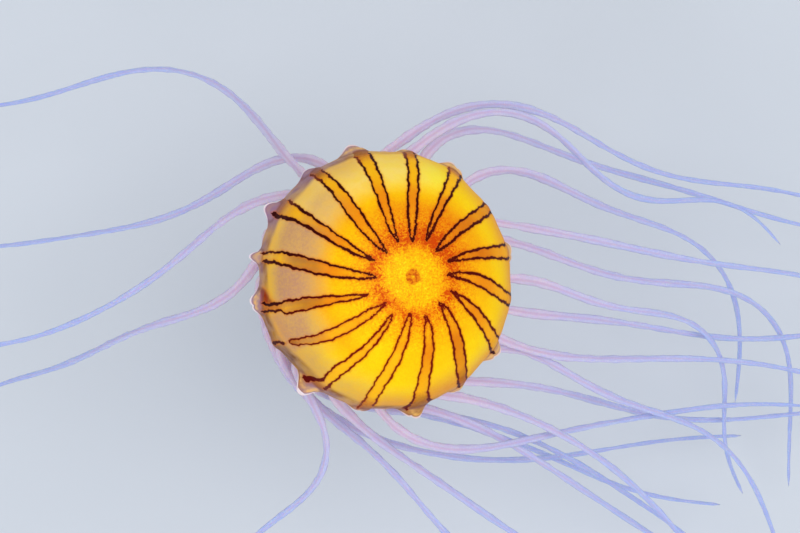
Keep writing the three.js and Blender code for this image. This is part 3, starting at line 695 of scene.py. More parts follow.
def add_arm(k):
    steps, m = 300, 10
    u = np.linspace(-0.035, 1.0, steps)
    uc = np.maximum(u, 0)
    c = arm_point(k, uc)
    root_dir = to_world([[0, 0, 1.0]])[0] - to_world([[0, 0, 0.0]])[0]
    up = np.minimum(u, 0)[:, None]
    inward = -unit(np.stack([c[:, 0], c[:, 1], np.zeros(steps)], -1))
    c = c + root_dir * (-up * 230) + inward * (-up * 60)
    t = unit(np.gradient(c, axis=0))
    turn = 55 * np.sin(2 * math.pi * 1.1 * uc + k) * smooth(uc * 3) * RAD
    outward = np.stack([c[:, 0] + 9 * smooth(uc * 1.4), c[:, 1], np.zeros(steps)], -1)
    outward = unit(outward - t * np.sum(outward * t, 1, keepdims=True))
    side = unit(np.cross(t, outward))
    w = side * np.cos(turn)[:, None] + outward * np.sin(turn)[:, None]
    nrm = unit(np.cross(t, w))
    hw, ht = arm_half_width(uc), arm_half_thickness(uc)
    hw = hw * mix(0.62, 1.0, smooth((u + 0.035) / 0.06))
    s = np.concatenate([[0], np.cumsum(np.linalg.norm(np.diff(c, axis=0), axis=1))])
    # section: m places across on one face and back on the other
    v = np.concatenate([np.linspace(-1, 1, m + 1), np.linspace(1, -1, m + 1)[1:-1]])
    v = np.sign(v) * np.abs(v) ** 0.8
    face = np.concatenate([np.ones(m + 1), -np.ones(m - 1)])
    face[0] = face[m] = 0
    n = len(v)
    fade_in = smooth((u - 0.0) / 0.10) * mix(1.0, 0.5, smooth((u - 0.6) / 0.4))
    av = np.abs(v)
    rings = []
    for i in range(steps):
        # a firm rib down the middle, thin frills at both sides that fold over on themselves
        thick = np.maximum(ht[i] * (1 - 0.85 * av ** 0.6), 0.28) * face
        ph = s[i]
        A = 4.4 * fade_in[i] * (hw[i] / 9.0) ** 0.5
        strength = np.where(v > 0, 0.8 + 0.3 * math.sin(ph / 8.3 + 2.2 * k), 0.8 + 0.3 * math.sin(ph / 9.7 + 1.1 * k + 2))
        A = A * strength
        wave = np.where(v > 0, ph * 2 * math.pi / 13.5 + 1.9 * math.sin(ph / 11 + k) + 0.7 * math.sin(ph / 4.9 + k) + k * 1.3,
                        ph * 2 * math.pi / 12.1 + 1.8 * math.sin(ph / 10 + 2 * k) + 0.7 * math.sin(ph / 5.3 + 3 * k) + k * 2.1 + 2.0)
        wave = wave + 0.7 * av
        fine = 2.3 * wave + 1.1 * np.sin(ph / 6 + k)
        rise = av ** 1.3
        curl = A * rise * np.sin(wave) + 0.16 * A * smooth((av - 0.5) / 0.5) * np.sin(fine)
        shear = -0.16 * A * rise * np.sin(2 * wave)
        reach = 1 + (0.10 * np.sin(ph / 6.1 + 1.7 * k + 0.8 * v) + 0.04 * np.sin(fine)) * smooth((av - 0.4) / 0.6) * fade_in[i]
        cup = 0.16 * hw[i] * (av ** 2) * np.sin(ph / 21 + k)
        pts = c[i] + np.outer(v * hw[i] * reach, w[i]) + np.outer(thick + curl + cup, nrm[i]) + np.outer(shear, t[i])
        start = skin.add(pts, lenu=clamp01(u[i]), across=v, along=ph, inner=3.0, sd=-20, thin=np.sin(wave) * rise)
        x0 = 0.70 + 0.072 * k
        wv = np.linspace(0, 1, n + 1)
        uv = np.stack([np.full(n + 1, x0) + 0.064 * wv, np.full(n + 1, 0.012 + 0.50 * i / (steps - 1))], -1)
        if rings:
            skin.bridge(rings[-1][0], n, rings[-1][1], start, n, uv, ARM, flip=True)
        rings.append((start, uv))
    for (start, uv), flip, at, off in ((rings[0], True, c[0], -0.3), (rings[-1], False, c[-1], 0.8)):
        p = skin.add([at + t[0 if flip else -1] * off], lenu=0.0 if flip else 1.0, inner=3.0, sd=-20)
        skin.pole(p, uv.mean(0), start, n, uv, ARM, flip=not flip)


# ------------------------------------------------------------------ tentacles
def tentacle_line(azimuth, length, heading, pitch0, pitch1, wave):
    a = azimuth * RAD
    root = TENTACLE_ROOT_RADIUS + float(margin_swell(azimuth))
    p = to_world(np.array([[root * math.cos(a), root * math.sin(a), TENTACLE_ROOT_HEIGHT]]))[0]
    n = TENTACLE_SUBSTEPS
    u = (np.arange(n) + 0.5) / n
    h = sum(term * np.cos(k * math.pi * u) for k, term in enumerate(heading)) * RAD
    d = (pitch0 + (pitch1 - pitch0) * smooth(u * 1.8) + wave * np.sin(2 * math.pi * u)) * RAD
    stream = np.stack([np.cos(d) * np.cos(h), np.cos(d) * np.sin(h), -np.sin(d)], -1)
    w = smooth((u * length - TENTACLE_HANG) / TENTACLE_BEND)[:, None]
    direction = unit(-AXIS * (1 - w) + stream * w)
    return np.vstack([p, p + np.cumsum(direction * (length / n), 0)])


def add_tentacle(i, row):
    line = tentacle_line(*row)
    a = row[0] * RAD
    root = [(77.8, 4.8), (77.4, 3.6), (76.8, 2.2), (76.0, 0.8), (75.5, -0.6)]
    swell = float(margin_swell(row[0]))
    pre = to_world(np.array([[(r + swell) * math.cos(a), (r + swell) * math.sin(a), z] for r, z in root]))
    pre_r = [0.35, 0.95, 1.75, 2.5, 2.85]
    steps, sides = 112, 8
    f = np.linspace(0, 1, steps)
    f = mix(f, f * f, 0.25)
    x = f * TENTACLE_SUBSTEPS
    grid = np.arange(TENTACLE_SUBSTEPS + 1)
    c = np.stack([np.interp(x, grid, line[:, j]) for j in range(3)], -1)
    r = mix(TENTACLE_START_RADIUS, TENTACLE_TIP_RADIUS, f ** 0.8)
    s = f * row[1]
    # gentle beading and a few thicker and thinner stretches
    r = r * (1 + 0.05 * np.sin(s * 0.62 + i) * smooth(s / 20) + 0.08 * np.sin(s * 0.12 + 2.1 * i) + 0.06 * np.sin(s * 0.031 + i * 1.3))
    r[0] = 2.85
    # the tip rounds off
    r = r * np.sqrt(np.clip((1.0 - f) * row[1] / 9.0 + 0.03, 0, 1))
    r[1:5] *= np.array([1.08, 1.06, 1.04, 1.02])
    c = np.vstack([pre, c])
    r = np.concatenate([pre_r, r])
    uu = np.concatenate([np.zeros(len(pre)), f])
    ss = np.concatenate([np.linspace(-8, -1, len(pre)), s])
    t = unit(np.gradient(c, axis=0))
    frames = []
    u0 = np.array([0, 1.0, 0])
    for ti in t:
        u0 = unit(u0 - ti * np.dot(u0, ti))
        frames.append(u0)
    frames = np.array(frames)
    v0 = np.cross(t, frames)
    # each is a soft band that lies flat in the water, rocking a little as it goes
    level = np.cross(t, np.array([0, 0, 1.0]))
    weight = np.maximum(np.linalg.norm(level, axis=1), 1e-6) ** 2
    lie = np.arctan2((level * v0).sum(1), (level * frames).sum(1))
    lie = 0.5 * np.unwrap(2 * lie)
    near = np.exp(-((np.arange(len(ss))[:, None] - np.arange(len(ss))[None, :]) / 4.0) ** 2) * (weight[None, :] + 1e-5)
    lie = (near * lie[None, :]).sum(1) / near.sum(1)
    twist = lie + 0.42 * np.sin(ss / 52.0 + 2.1 * i) + 0.16 * np.sin(ss / 19.0 + i)
    flat = mix(1.0, 0.74, smooth(ss / 45))
    broad = mix(1.0, mix(1.48, 1.34, uu), smooth(ss / 45))
    th = 2 * math.pi * np.arange(sides) / sides
    rings = []
    n = sides
    y0 = 0.70 + 0.0122 * i
    wv = np.linspace(0, 1, n + 1)
    total = len(c)
    for j in range(total):
        ex, ey = np.cos(th) * r[j] * broad[j], np.sin(th) * r[j] * flat[j]
        ey = ey + 0.26 * r[j] * smooth(ss[j] / 45) * np.cos(th) ** 3 * math.sin(ss[j] * 0.31 + 1.7 * i)
        ct, st = math.cos(twist[j]), math.sin(twist[j])
        px, py = ex * ct - ey * st, ex * st + ey * ct
        pts = c[j] + np.outer(px, frames[j]) + np.outer(py, v0[j])
        start = skin.add(pts, lenu=uu[j], across=np.cos(th), along=ss[j], inner=4.0, sd=-20, clear=float(i))
        uv = np.stack([np.full(n + 1, 0.006 + 0.515 * j / (total - 1)), y0 + 0.0104 * wv], -1)
        if rings:
            skin.bridge(rings[-1][0], n, rings[-1][1], start, n, uv, TENTACLE, flip=True)
        rings.append((start, uv))
    for (start, uv), flip, at, off in ((rings[0], True, c[0], -0.3), (rings[-1], False, c[-1], 0.6)):
        p = skin.add([at + t[0 if flip else -1] * off], lenu=0.0 if flip else 1.0, inner=4.0, sd=-20, along=ss[0 if flip else -1])
        skin.pole(p, uv.mean(0), start, n, uv, TENTACLE, flip=not flip)


rim_end = add_bell()
add_underside(rim_end)
for k in range(4):
    add_arm(k)
for i, row in enumerate(TENTACLES):
    add_tentacle(i, row)


# ------------------------------------------------------------------ materials
def linear(rgb):
    return tuple(((c / 255 + 0.055) / 1.055) ** 2.4 if c / 255 > 0.04045 else c / 255 / 12.92 for c in rgb) + (1.0,)


class Tree:
    """A material and short ways to add nodes to it."""

    def __init__(self, name):
        self.mat = bpy.data.materials.new(name)
        self.mat.use_nodes = True
        self.nt = self.mat.node_tree
        self.nt.nodes.clear()
        self.out = self.nt.nodes.new("ShaderNodeOutputMaterial")
        self.bsdf = self.nt.nodes.new("ShaderNodeBsdfPrincipled")
        self.nt.links.new(self.bsdf.outputs[0], self.out.inputs[0])
        self.coord = None

    def node(self, kind, **props):
        n = self.nt.nodes.new(kind)
        for k, v in props.items():
            setattr(n, k, v)
        return n

    def plug(self, socket, value):
        if isinstance(value, bpy.types.NodeSocket):
            self.nt.links.new(value, socket)
        else:
            socket.default_value = value

    def set(self, name, value):
        self.plug(self.bsdf.inputs[name], value)

    def attr(self, name):
        return self.node("ShaderNodeAttribute", attribute_name=name).outputs["Fac"]

    def place(self):
        if self.coord is None:
            self.coord = self.node("ShaderNodeTexCoord").outputs["Object"]
        return self.coord

    def math(self, op, a, b=0.0, c=0.0, clamp=False):
        n = self.node("ShaderNodeMath", operation=op, use_clamp=clamp)
        self.plug(n.inputs[0], a)
        self.plug(n.inputs[1], b)
        if len(n.inputs) > 2:
            self.plug(n.inputs[2], c)
        return n.outputs[0]

    def span(self, x, lo, hi, to0=0.0, to1=1.0, soft=True):
        n = self.node("ShaderNodeMapRange", interpolation_type="SMOOTHSTEP" if soft else "LINEAR")
        for name, v in (("Value", x), ("From Min", lo), ("From Max", hi), ("To Min", to0), ("To Max", to1)):
            self.plug(n.inputs[name], v)
        return n.outputs["Result"]

    def mixc(self, t, a, b, blend="MIX"):
        n = self.node("ShaderNodeMix", data_type="RGBA", blend_type=blend)
        self.plug(n.inputs[0], t)
        self.plug(n.inputs[6], a)
        self.plug(n.inputs[7], b)
        return n.outputs[2]

    def noise(self, scale, detail=2.0, rough=0.5, vector=None, distort=0.0):
        n = self.node("ShaderNodeTexNoise")
        self.plug(n.inputs["Vector"], vector or self.place())
        n.inputs["Scale"].default_value = scale
        n.inputs["Detail"].default_value = detail
        n.inputs["Roughness"].default_value = rough
        n.inputs["Distortion"].default_value = distort
        return n.outputs["Fac"]

    def voronoi(self, scale, vector=None, feature="F1", randomness=1.0, out="Distance"):
        n = self.node("ShaderNodeTexVoronoi", feature=feature)
        self.plug(n.inputs["Vector"], vector or self.place())
        n.inputs["Scale"].default_value = scale
        n.inputs["Randomness"].default_value = randomness
        return n.outputs[out]

    def ramp(self, x, stops):
        n = self.node("ShaderNodeValToRGB")
        self.plug(n.inputs[0], x)
        e = n.color_ramp.elements
        while len(e) < len(stops):
            e.new(0.5)
        for el, (pos, col) in zip(e, stops):
            el.position, el.color = pos, col
        return n.outputs[0]

    def bump(self, height, strength, distance, normal=None):
        n = self.node("ShaderNodeBump")
        n.inputs["Strength"].default_value = strength
        n.inputs["Distance"].default_value = distance
        self.plug(n.inputs["Height"], height)
        if normal:
            self.plug(n.inputs["Normal"], normal)
        return n.outputs[0]


MAROON = linear((124, 12, 0))
MAROON_DARK = linear((52, 1, 0))
BROWN_LINE = linear((150, 58, 8))
TAN = linear((194, 142, 108))
TAN_RIGHT = linear((228, 148, 48))
MILK = linear((252, 214, 128))
MARGIN_BROWN = linear((156, 98, 38))
MARGIN_DUSK = linear((108, 62, 28))
MARGIN_PEACH = linear((234, 160, 56))
MARGIN_CLEAR = linear((148, 106, 112))
FLAP_CLEAR = linear((148, 122, 150))
COOL_CLEAR = linear((150, 114, 140))
RIM_PALE = linear((244, 228, 234))
# warm peach painted highlight on the rim along the right side
RIM_PEACH_HIGHLIGHT = linear((240, 186, 130))
FIELD_RAMP = [(0.0, linear((204, 70, 0))), (0.2, linear((232, 120, 4))), (0.4, linear((242, 158, 6))), (0.6, linear((251, 188, 4))),
              (0.8, linear((255, 210, 8))), (1.0, linear((255, 230, 44)))]
RIBBON_RAMP = [(0.0, linear((234, 136, 14))), (0.25, linear((234, 134, 12))), (0.5, linear((242, 156, 12))), (0.68, linear((246, 172, 18))),
               (0.84, linear((210, 128, 24))), (1.0, linear((166, 94, 32)))]


def jelly(t, colour, roughness, weight=0.3, scale=0.004, gloss=0.15):
    t.set("Base Color", colour)
    t.set("Roughness", roughness)
    t.bsdf.inputs["IOR"].default_value = 1.36
    t.bsdf.inputs["Specular IOR Level"].default_value = gloss
    t.bsdf.inputs["Subsurface Weight"].default_value = weight
    t.bsdf.inputs["Subsurface Radius"].default_value = (1.0, 0.55, 0.2)
    t.bsdf.inputs["Subsurface Scale"].default_value = scale


def bell_material(name, under=False):
    t = Tree(name)
    sd, lw, fade, tone, thin = (t.attr(k) for k in ("sd", "lw", "fade", "tone", "thin"))
    band, pol, rimd, wedge = (t.attr(k) for k in ("band", "pol", "rimd", "wedge"))
    rest, pale, disc, flap = (t.attr(k) for k in ("rest", "pale", "disc", "flap"))
    far_side = t.attr("clear")
    grain = t.noise(640, 3.0, 0.6)
    coarse = t.noise(150, 2.0, 0.5)
    mottle = t.noise(36, 2.0, 0.5)
    g = t.math("SUBTRACT", grain, 0.5)
    cg = t.math("SUBTRACT", coarse, 0.5)
    # grain is strongest near the crown
    sand = t.math("SUBTRACT", t.noise(1050, 2.0, 0.7), 0.5)
    tn = t.math("MULTIPLY_ADD", g, t.math("ADD", t.span(disc, 16, 40, 0.95, 0.18), t.span(disc, 11, 16, -0.35, 0.0)), tone)
    tn = t.math("MULTIPLY_ADD", sand, t.span(disc, 16, 40, 1.2, 0.2), tn)
    tn = t.math("MULTIPLY_ADD", cg, t.span(disc, 12, 50, 0.34, 0.10), tn)
    tn = t.math("MULTIPLY_ADD", t.math("SUBTRACT", mottle, 0.5), 0.14, tn)
    field = t.ramp(tn, FIELD_RAMP)
    field = t.mixc(t.math("MULTIPLY", pale, t.span(coarse, 0.3, 0.7, 0.8, 1.15)), field, MILK)
    # thin smoky patches
    half_grown = t.math("MULTIPLY", thin, t.math("SUBTRACT", 1.0, thin))
    smoke = t.math("MULTIPLY_ADD", half_grown, t.math("MULTIPLY", cg, 1.5), thin)
    smoke = t.math("MULTIPLY", smoke, t.span(mottle, 0.3, 0.62, 0.84, 1.0))
    smoke = t.math("MULTIPLY", smoke, t.span(grain, 0.3, 0.7, 0.86, 1.06))
    field = t.mixc(smoke, field, t.mixc(t.span(far_side, 0.2, 0.6), TAN, TAN_RIGHT))
    # ribbons
    rib_tone = t.math("ADD", t.span(pol, 20, 84, 0.05, 1.0, soft=False), t.math("MULTIPLY", g, 0.16))
    rib_tone = t.math("MULTIPLY_ADD", cg, 0.14, rib_tone)
    ribbon = t.ramp(rib_tone, RIBBON_RAMP)
    ribbon = t.mixc(t.math("MULTIPLY", t.span(tone, 0.66, 0.88), t.span(pol, 60, 74, 0.7, 0.0)), ribbon, linear((254, 188, 10)))
    # towards the tips a ribbon is coloured like the fields, and on the upper right it is a deeper orange
    ribbon = t.mixc(t.span(pol, 24, 38, 0.62, 0.0), ribbon, t.ramp(t.math("ADD", tn, 0.02), FIELD_RAMP))
    deep = t.math("MULTIPLY", t.attr("deep"), t.span(coarse, 0.3, 0.7, 0.75, 1.1))
    ribbon = t.mixc(t.math("MAXIMUM", deep, 0.0), ribbon, linear((206, 102, 12)))
    ribbon = t.mixc(t.math("MULTIPLY", smoke, t.span(far_side, 0.2, 0.55, 0.85, 0.12)), ribbon, linear((182, 124, 72)))
    gold = t.math("MULTIPLY", t.math("MINIMUM", deep, 0.0), -1.0)
    ribbon = t.mixc(gold, ribbon, t.mixc(t.span(pol, 66, 78), linear((254, 190, 18)), t.mixc(far_side, linear((246, 190, 82)), linear((238, 164, 16)))))
    # browner ribbon stretches from the shade field; towards the margin this is painted shade
    ribbon = t.mixc(t.math("MULTIPLY", t.attr("shade"), t.span(coarse, 0.3, 0.7, 0.8, 1.1)), ribbon, linear((134, 76, 16)))
    inside = t.span(sd, -0.35, 0.35)
    col = t.mixc(inside, field, ribbon)
    # red-brown specks round the crown's disc and among the stripes
    spots = t.voronoi(430)
    spot = t.math("MULTIPLY", t.span(spots, 0.16, 0.34, 1.0, 0.0), t.span(coarse, 0.46, 0.6))
    ring = t.math("ADD", t.math("MULTIPLY", t.span(disc, 13, 17), t.span(disc, 21, 36, 1.0, 0.0)), t.span(disc, 0, 50, 0.12, 0.0))
    col = t.mixc(t.math("MULTIPLY", spot, t.math("MULTIPLY", ring, 0.5)), col, linear((206, 74, 0)))
    # short wriggling strokes of the same brown, thickest on the ring round the disc
    stroke = t.span(t.math("ABSOLUTE", t.math("SUBTRACT", t.noise(205, 1.5, 0.5, distort=0.8), 0.5)), 0.022, 0.055, 1.0, 0.0)
    stroke = t.math("MULTIPLY", stroke, t.span(t.noise(130, 1.5, 0.5), 0.46, 0.55))
    where = t.math("ADD", t.math("MULTIPLY", t.span(disc, 11.5, 14.5), t.span(disc, 18, 25, 1.0, 0.0)), t.span(disc, 0, 36, 0.16, 0.0))
    col = t.mixc(t.math("MULTIPLY", stroke, t.math("MULTIPLY", where, 0.78)), col, linear((206, 60, 0)))
    # a broken ring at the very crown, over the stalk's root
    spot_at = t.math("MULTIPLY_ADD", cg, 1.6, t.attr("spot"))
    crown = t.math("MULTIPLY", t.span(spot_at, 0.2, 1.5, 0.35, 1.0), t.span(spot_at, 2.6, 4.0, 1.0, 0.0))
    col = t.mixc(t.math("MULTIPLY", crown, t.span(grain, 0.3, 0.6, 0.6, 0.95)), col, linear((224, 120, 8)))
    col = t.mixc(t.math("MULTIPLY", crown, t.span(t.noise(620, 2), 0.46, 0.58, 0.0, 0.8)), col, linear((186, 66, 0)))
    # the clear margin beyond the yellow layer: brown where it starts, then mauve
    bn = t.math("MULTIPLY_ADD", t.math("SUBTRACT", t.noise(60, 2), 0.5), 4.0, band)
    bn = t.math("MULTIPLY_ADD", cg, 2.0, bn)
    edge = t.span(bn, -2.2, 3.4)
    clear = t.mixc(t.span(bn, 3.0, 10.0), MARGIN_BROWN, MARGIN_CLEAR)
    clear = t.mixc(t.span(far_side, 0.35, 0.8), clear, MARGIN_PEACH)
    # painted brown shade on the clear margin where dusk is set
    clear = t.mixc(t.math("MULTIPLY", t.attr("dusk"), t.span(bn, 0.0, 6.0, 0.3, 0.85)), clear, MARGIN_DUSK)
    clear = t.mixc(t.span(coarse, 0.35, 0.7, 0.0, 0.35), clear, linear((214, 178, 150)))
    # darker blotches of painted shade within that region
    shade_blotch = t.math("MULTIPLY", t.span(t.noise(75, 2, 0.5), 0.5, 0.64), t.math("MULTIPLY", t.attr("dusk"), 0.4))
    clear = t.mixc(shade_blotch, clear, linear((112, 70, 66)))
    cool = t.attr("cool")
    clear = t.mixc(t.math("MULTIPLY", cool, 0.7), clear, COOL_CLEAR)
    patchy = t.math("MAXIMUM", t.span(t.noise(48, 2, 0.5), 0.34, 0.6, 0.5, 1.0), cool)
    keep = t.math("SUBTRACT", 1.0, t.math("MULTIPLY", inside, t.span(bn, 2.0, 9.0, 0.95, 0.6)))
    col = t.mixc(t.math("MULTIPLY", t.math("MULTIPLY", edge, keep), patchy), col, clear)
    col = t.mixc(t.math("MULTIPLY", wedge, t.span(coarse, 0.25, 0.6, 0.7, 1.0)), col, t.mixc(t.span(wedge, 0.35, 0.9), linear((224, 122, 8)), linear((152, 46, 0))))
    # flaps: mauve pillows with a yellow heart
    fl = t.math("MULTIPLY_ADD", cg, 0.3, flap)
    each = t.noise(26, 1.0, 0.4)
    col = t.mixc(t.span(fl, 0.15, 0.7, 0.0, 0.86), col, t.mixc(t.math("MULTIPLY", t.span(far_side, 0.32, 0.7), t.span(each, 0.4, 0.56, 0.5, 1.0)), FLAP_CLEAR, linear((206, 158, 112))))
    # flaps in that region get painted brown shade too
    col = t.mixc(t.math("MULTIPLY", t.span(fl, 0.15, 0.7), t.span(t.attr("dusk"), 0.35, 0.7, 0.0, 0.85)), col, linear((158, 98, 36)))
    col = t.mixc(t.math("MULTIPLY", t.span(fl, 0.12, 0.6), t.math("MULTIPLY", cool, 0.7)), col, COOL_CLEAR)
    heart = t.math("MULTIPLY", t.span(fl, 0.3, 0.62), t.math("MULTIPLY", t.span(rimd, 1.8, 5.0), t.span(rimd, 12.0, 7.0)))
    heart = t.math("MULTIPLY", heart, t.span(cool, 0.2, 0.8, 1.0, 0.2))
    warm = t.math("MAXIMUM", t.span(coarse, 0.36, 0.6, 0.08, 0.72), t.math("MULTIPLY", gold, 0.95))
    col = t.mixc(t.math("MULTIPLY", heart, warm), col, linear((246, 194, 108)))
    # painted shade in the crease where each flap leaves the margin
    crease_shade = t.math("MULTIPLY", t.span(fl, 0.06, 0.2), t.span(fl, 0.22, 0.42, 1.0, 0.0))
    col = t.mixc(t.math("MULTIPLY", t.math("MULTIPLY", crease_shade, 0.55), t.span(rimd, 0.8, 2.4)), col, linear((128, 84, 76)))
    # dark stripe lines, ragged at the tips
    wob = t.math("SUBTRACT", t.noise(430, 2.0, 0.6), 0.5)
    fray = t.math("SUBTRACT", t.noise(900, 2.0, 0.6), 0.5)
    d = t.math("MULTIPLY_ADD", wob, t.span(pol, 18, 42, 1.9, t.span(far_side, 0.4, 0.8, 0.85, 0.4)), sd)
    d = t.math("ABSOLUTE", t.math("MULTIPLY_ADD", fray, t.span(pol, 16, 36, 2.2, 0.5), d))
    w = t.math("MULTIPLY", lw, t.span(t.noise(200, 2), 0.3, 0.7, 0.72, 1.22))
    w = t.math("MULTIPLY", w, t.span(t.math("MULTIPLY_ADD", cg, 2.0, rest), -0.4, 3.2, 0.05, 1.0))
    over = t.math("SUBTRACT", d, w)
    line = t.span(over, -0.14, 0.16, 1.0, 0.0)
    line = t.math("MULTIPLY", line, t.span(rest, -0.8, 0.4))
    line_col = t.mixc(t.attr("dark"), MAROON, MAROON_DARK)
    line_col = t.mixc(t.math("MULTIPLY_ADD", cg, 0.5, fade), line_col, BROWN_LINE)
    halo = t.math("MULTIPLY", t.span(over, -0.1, 1.3, 0.68, 0.0), t.math("MULTIPLY", t.span(rest, -1.0, 1.0), t.span(pol, 20, 60, 1.0, 0.7)))
    col = t.mixc(halo, col, linear((206, 98, 8)))
    if under:
        col = t.mixc(0.30, col, linear((238, 196, 150)))
        line = t.math("MULTIPLY", line, 0.42)
        lobe = t.attr("across")
        col = t.mixc(t.math("MULTIPLY", lobe, 0.75), col, t.mixc(t.span(coarse, 0.4, 0.62), linear((232, 168, 120)), linear((250, 214, 160))))
    col = t.mixc(line, col, line_col)
    # pale bead along the rim: the margin's own pale edge, with a painted highlight that is broader and full strength
    # round the flaps and warm peach along the right side
    rim = t.span(rimd, 0.2, t.span(flap, 0.1, 0.6, 1.2, 2.1), 1.0, 0.0)
    rim = t.math("MULTIPLY", rim, t.span(flap, 0.05, 0.4, t.span(far_side, 0.1, 0.5, 0.34, 0.6), 1.0))
    rim_col = t.mixc(t.math("MULTIPLY", t.span(far_side, 0.3, 0.7), t.span(flap, 0.1, 0.5, 1.0, 0.35)), RIM_PALE, RIM_PEACH_HIGHLIGHT)
    col = t.mixc(t.math("MULTIPLY", rim, t.math("SUBTRACT", 0.86, t.math("MULTIPLY", line, 0.6))), col, rim_col)
    rough = t.span(grain, 0.3, 0.7, 0.40, 0.56)
    jelly(t, col, rough, 0.18, 0.002, 0.09)
    pap = t.math("MULTIPLY", t.span(t.voronoi(560, feature="SMOOTH_F1"), 0.1, 0.62, 1.0, 0.0), t.span(pol, 20, 80, 1.0, 0.45))
    h = t.math("ADD", t.math("MULTIPLY", pap, 0.6), t.math("MULTIPLY", grain, 0.7))
    t.set("Normal", t.bump(h, 0.35, 0.00022))
    return t.mat


def arm_material():
    t = Tree("arm_tissue")
    across, lenu = t.attr("across"), t.attr("lenu")
    av = t.math("ABSOLUTE", across)
    n = t.noise(150, 3.0, 0.55)
    fine = t.noise(700, 2.0, 0.6)
    x = t.math("MULTIPLY_ADD", t.math("SUBTRACT", n, 0.5), 0.4, av)
    col = t.ramp(x, [(0.0, linear((240, 194, 148))), (0.2, linear((246, 220, 192))), (0.5, linear((251, 238, 226))), (0.85, linear((252, 240, 238))), (1.0, linear((244, 220, 214)))])
    col = t.mixc(t.span(t.attr("thin"), -0.2, -0.9, 0.0, 0.3), col, linear((232, 196, 176)))
    col = t.mixc(t.span(lenu, 0.0, 0.16, 0.5, 0.0), col, linear((242, 184, 96)))
    col = t.mixc(t.math("MULTIPLY", t.span(fine, 0.56, 0.7), 0.2), col, linear((214, 146, 116)))
    jelly(t, col, t.span(n, 0.3, 0.7, 0.36, 0.5), 0.35, 0.004)
    t.set("Normal", t.bump(t.math("ADD", fine, t.math("MULTIPLY", n, 0.6)), 0.3, 0.0003))
    return t.mat


def tentacle_material():
    t = Tree("tentacle_tissue")
    lenu, along = t.attr("lenu"), t.attr("along")
    n = t.noise(70, 2.0, 0.5)
    beads = t.voronoi(620)
    # fine rings of stinging cells round the band, and a rosy line down one side of it
    rings = t.span(t.math("SINE", t.math("MULTIPLY_ADD", along, 4.6, t.math("MULTIPLY", t.noise(190, 2.0, 0.5), 11.0))), -0.4, 0.9)
    rings = t.math("MULTIPLY", rings, t.span(t.noise(110, 2.0, 0.5), 0.4, 0.6, 0.25, 1.0))
    vein = t.math("MULTIPLY", t.span(t.math("ABSOLUTE", t.attr("across")), 0.45, 0.05, 0.0, 1.0), t.span(lenu, 0.0, 0.9, 0.42, 0.16))
    x = t.math("MULTIPLY_ADD", t.math("SUBTRACT", n, 0.5), 0.16, lenu)
    col = t.ramp(x, [(0.0, linear((236, 206, 214))), (0.08, linear((228, 206, 230))), (0.28, linear((206, 202, 238))), (0.6, linear((180, 194, 242))), (1.0, linear((166, 188, 244)))])
    col = t.mixc(t.math("MULTIPLY", t.span(beads, 0.2, 0.45, 1.0, 0.0), 0.2), col, linear((248, 244, 252)))
    col = t.mixc(t.math("MULTIPLY", rings, 0.16), col, linear((250, 246, 253)))
    col = t.mixc(vein, col, linear((204, 150, 186)))
    t.bsdf.inputs["Alpha"].default_value = 0.8
    jelly(t, col, 0.38, 0.35, 0.003)
    t.set("Normal", t.bump(t.math("MULTIPLY_ADD", rings, 0.5, t.span(beads, 0.1, 0.6, 0.6, 0.0)), 0.3, 0.0003))
    return t.mat


materials = [bell_material("bell_jelly"), bell_material("under_bell", True), arm_material(), tentacle_material()]
animal = skin.build("medusa", materials)
print("skin: vertices", len(animal.data.vertices), "triangles", sum(len(p.vertices) - 2 for p in animal.data.polygons))
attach(animal, "root")
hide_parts(*[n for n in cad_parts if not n.startswith("stand_")])


# ------------------------------------------------------------------ stand, floor and light
def base_material():
    t = Tree("base_enamel")
    n = t.noise(420, 3.0, 0.6)
    m = t.noise(16, 3.0, 0.55)
    col = t.mixc(t.span(m, 0.3, 0.7), linear((206, 210, 214)), linear((217, 220, 223)))
    t.set("Base Color", col)
    t.set("Roughness", t.span(t.noise(60, 4.0, 0.6), 0.3, 0.7, 0.34, 0.5))
    t.bsdf.inputs["Metallic"].default_value = 0.0
    t.bsdf.inputs["Coat Weight"].default_value = 0.15
    t.set("Normal", t.bump(n, 0.18, 0.0002))
    return t.mat


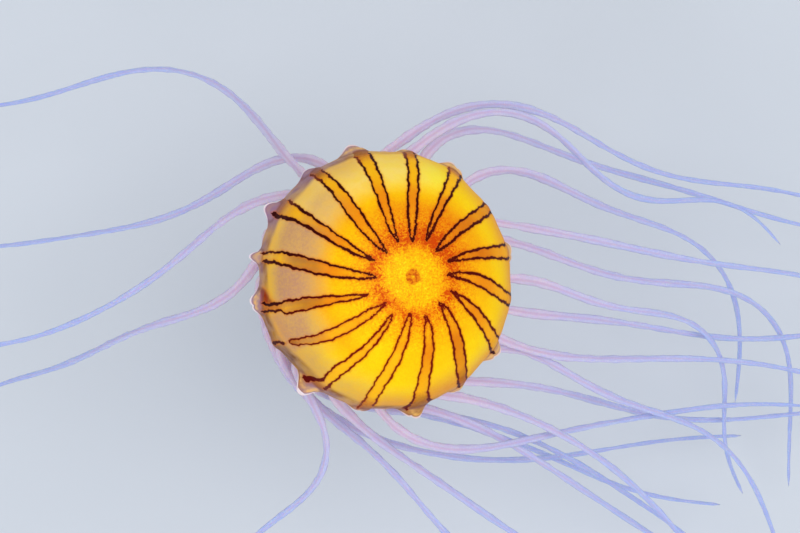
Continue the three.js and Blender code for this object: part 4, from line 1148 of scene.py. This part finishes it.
def rod_material():
    t = Tree("rod_steel")
    mapping = t.node("ShaderNodeMapping")
    mapping.inputs["Scale"].default_value = (1.0, 1.0, 90.0)
    t.plug(mapping.inputs["Vector"], t.place())
    streak = t.noise(40, 3.0, 0.6, vector=mapping.outputs[0])
    t.set("Base Color", t.mixc(t.span(streak, 0.3, 0.7), linear((176, 180, 184)), linear((202, 205, 208))))
    t.bsdf.inputs["Metallic"].default_value = 1.0
    t.set("Roughness", t.span(streak, 0.3, 0.7, 0.26, 0.42))
    t.set("Normal", t.bump(streak, 0.12, 0.0001))
    return t.mat


def paint(node, material):
    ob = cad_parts[node]
    ob.data.materials.clear()
    ob.data.materials.append(material)


paint("stand_base", base_material())
paint("stand_rod", rod_material())


def add_floor():
    me = bpy.data.meshes.new("floor")
    n = 64
    ring = [(24.0 * math.cos(2 * math.pi * k / n), 24.0 * math.sin(2 * math.pi * k / n), 0.0) for k in range(n)]
    me.from_pydata(ring, [], [tuple(range(n))])
    ob = bpy.data.objects.new("floor", me)
    scene.collection.objects.link(ob)
    t = Tree("floor_pale")
    m = t.noise(3.0, 2.0)
    near = t.mixc(t.span(m, 0.3, 0.7), (0.60, 0.64, 0.70, 1), (0.63, 0.67, 0.73, 1))
    r = t.node("ShaderNodeVectorMath", operation="LENGTH")
    t.plug(r.inputs[0], t.place())
    mid = t.mixc(t.span(r.outputs["Value"], 0.65, 2.6), near, (0.88, 0.89, 0.91, 1))
    t.set("Base Color", t.mixc(t.span(r.outputs["Value"], 2.2, 9.0), mid, (0.995, 0.995, 0.995, 1)))
    t.bsdf.inputs["Roughness"].default_value = 0.9
    t.bsdf.inputs["Specular IOR Level"].default_value = 0.1
    me.materials.append(t.mat)


add_floor()


def area_light(name, place, target, size, watts, colour):
    data = bpy.data.lights.new(name, "AREA")
    data.shape, data.size, data.energy, data.color = "DISK", size, watts, colour
    ob = bpy.data.objects.new(name, data)
    ob.location = place
    ob.rotation_euler = (Vector(target) - Vector(place)).to_track_quat("-Z", "Y").to_euler()
    scene.collection.objects.link(ob)


area_light("key", (0.6, 0.1, 2.25), (0, 0, 0.3), 1.5, 17.5, (1.0, 0.985, 0.96))
area_light("fill", (-0.8, -1.4, 1.6), (0, 0, 0.3), 1.4, 8.0, (0.96, 0.98, 1.0))
world = bpy.data.worlds.new("studio")
world.use_nodes = True
world.node_tree.nodes["Background"].inputs[0].default_value = (0.93, 0.96, 1.0, 1)
world.node_tree.nodes["Background"].inputs[1].default_value = 0.72
scene.world = world
scene.view_settings.view_transform = "Standard"
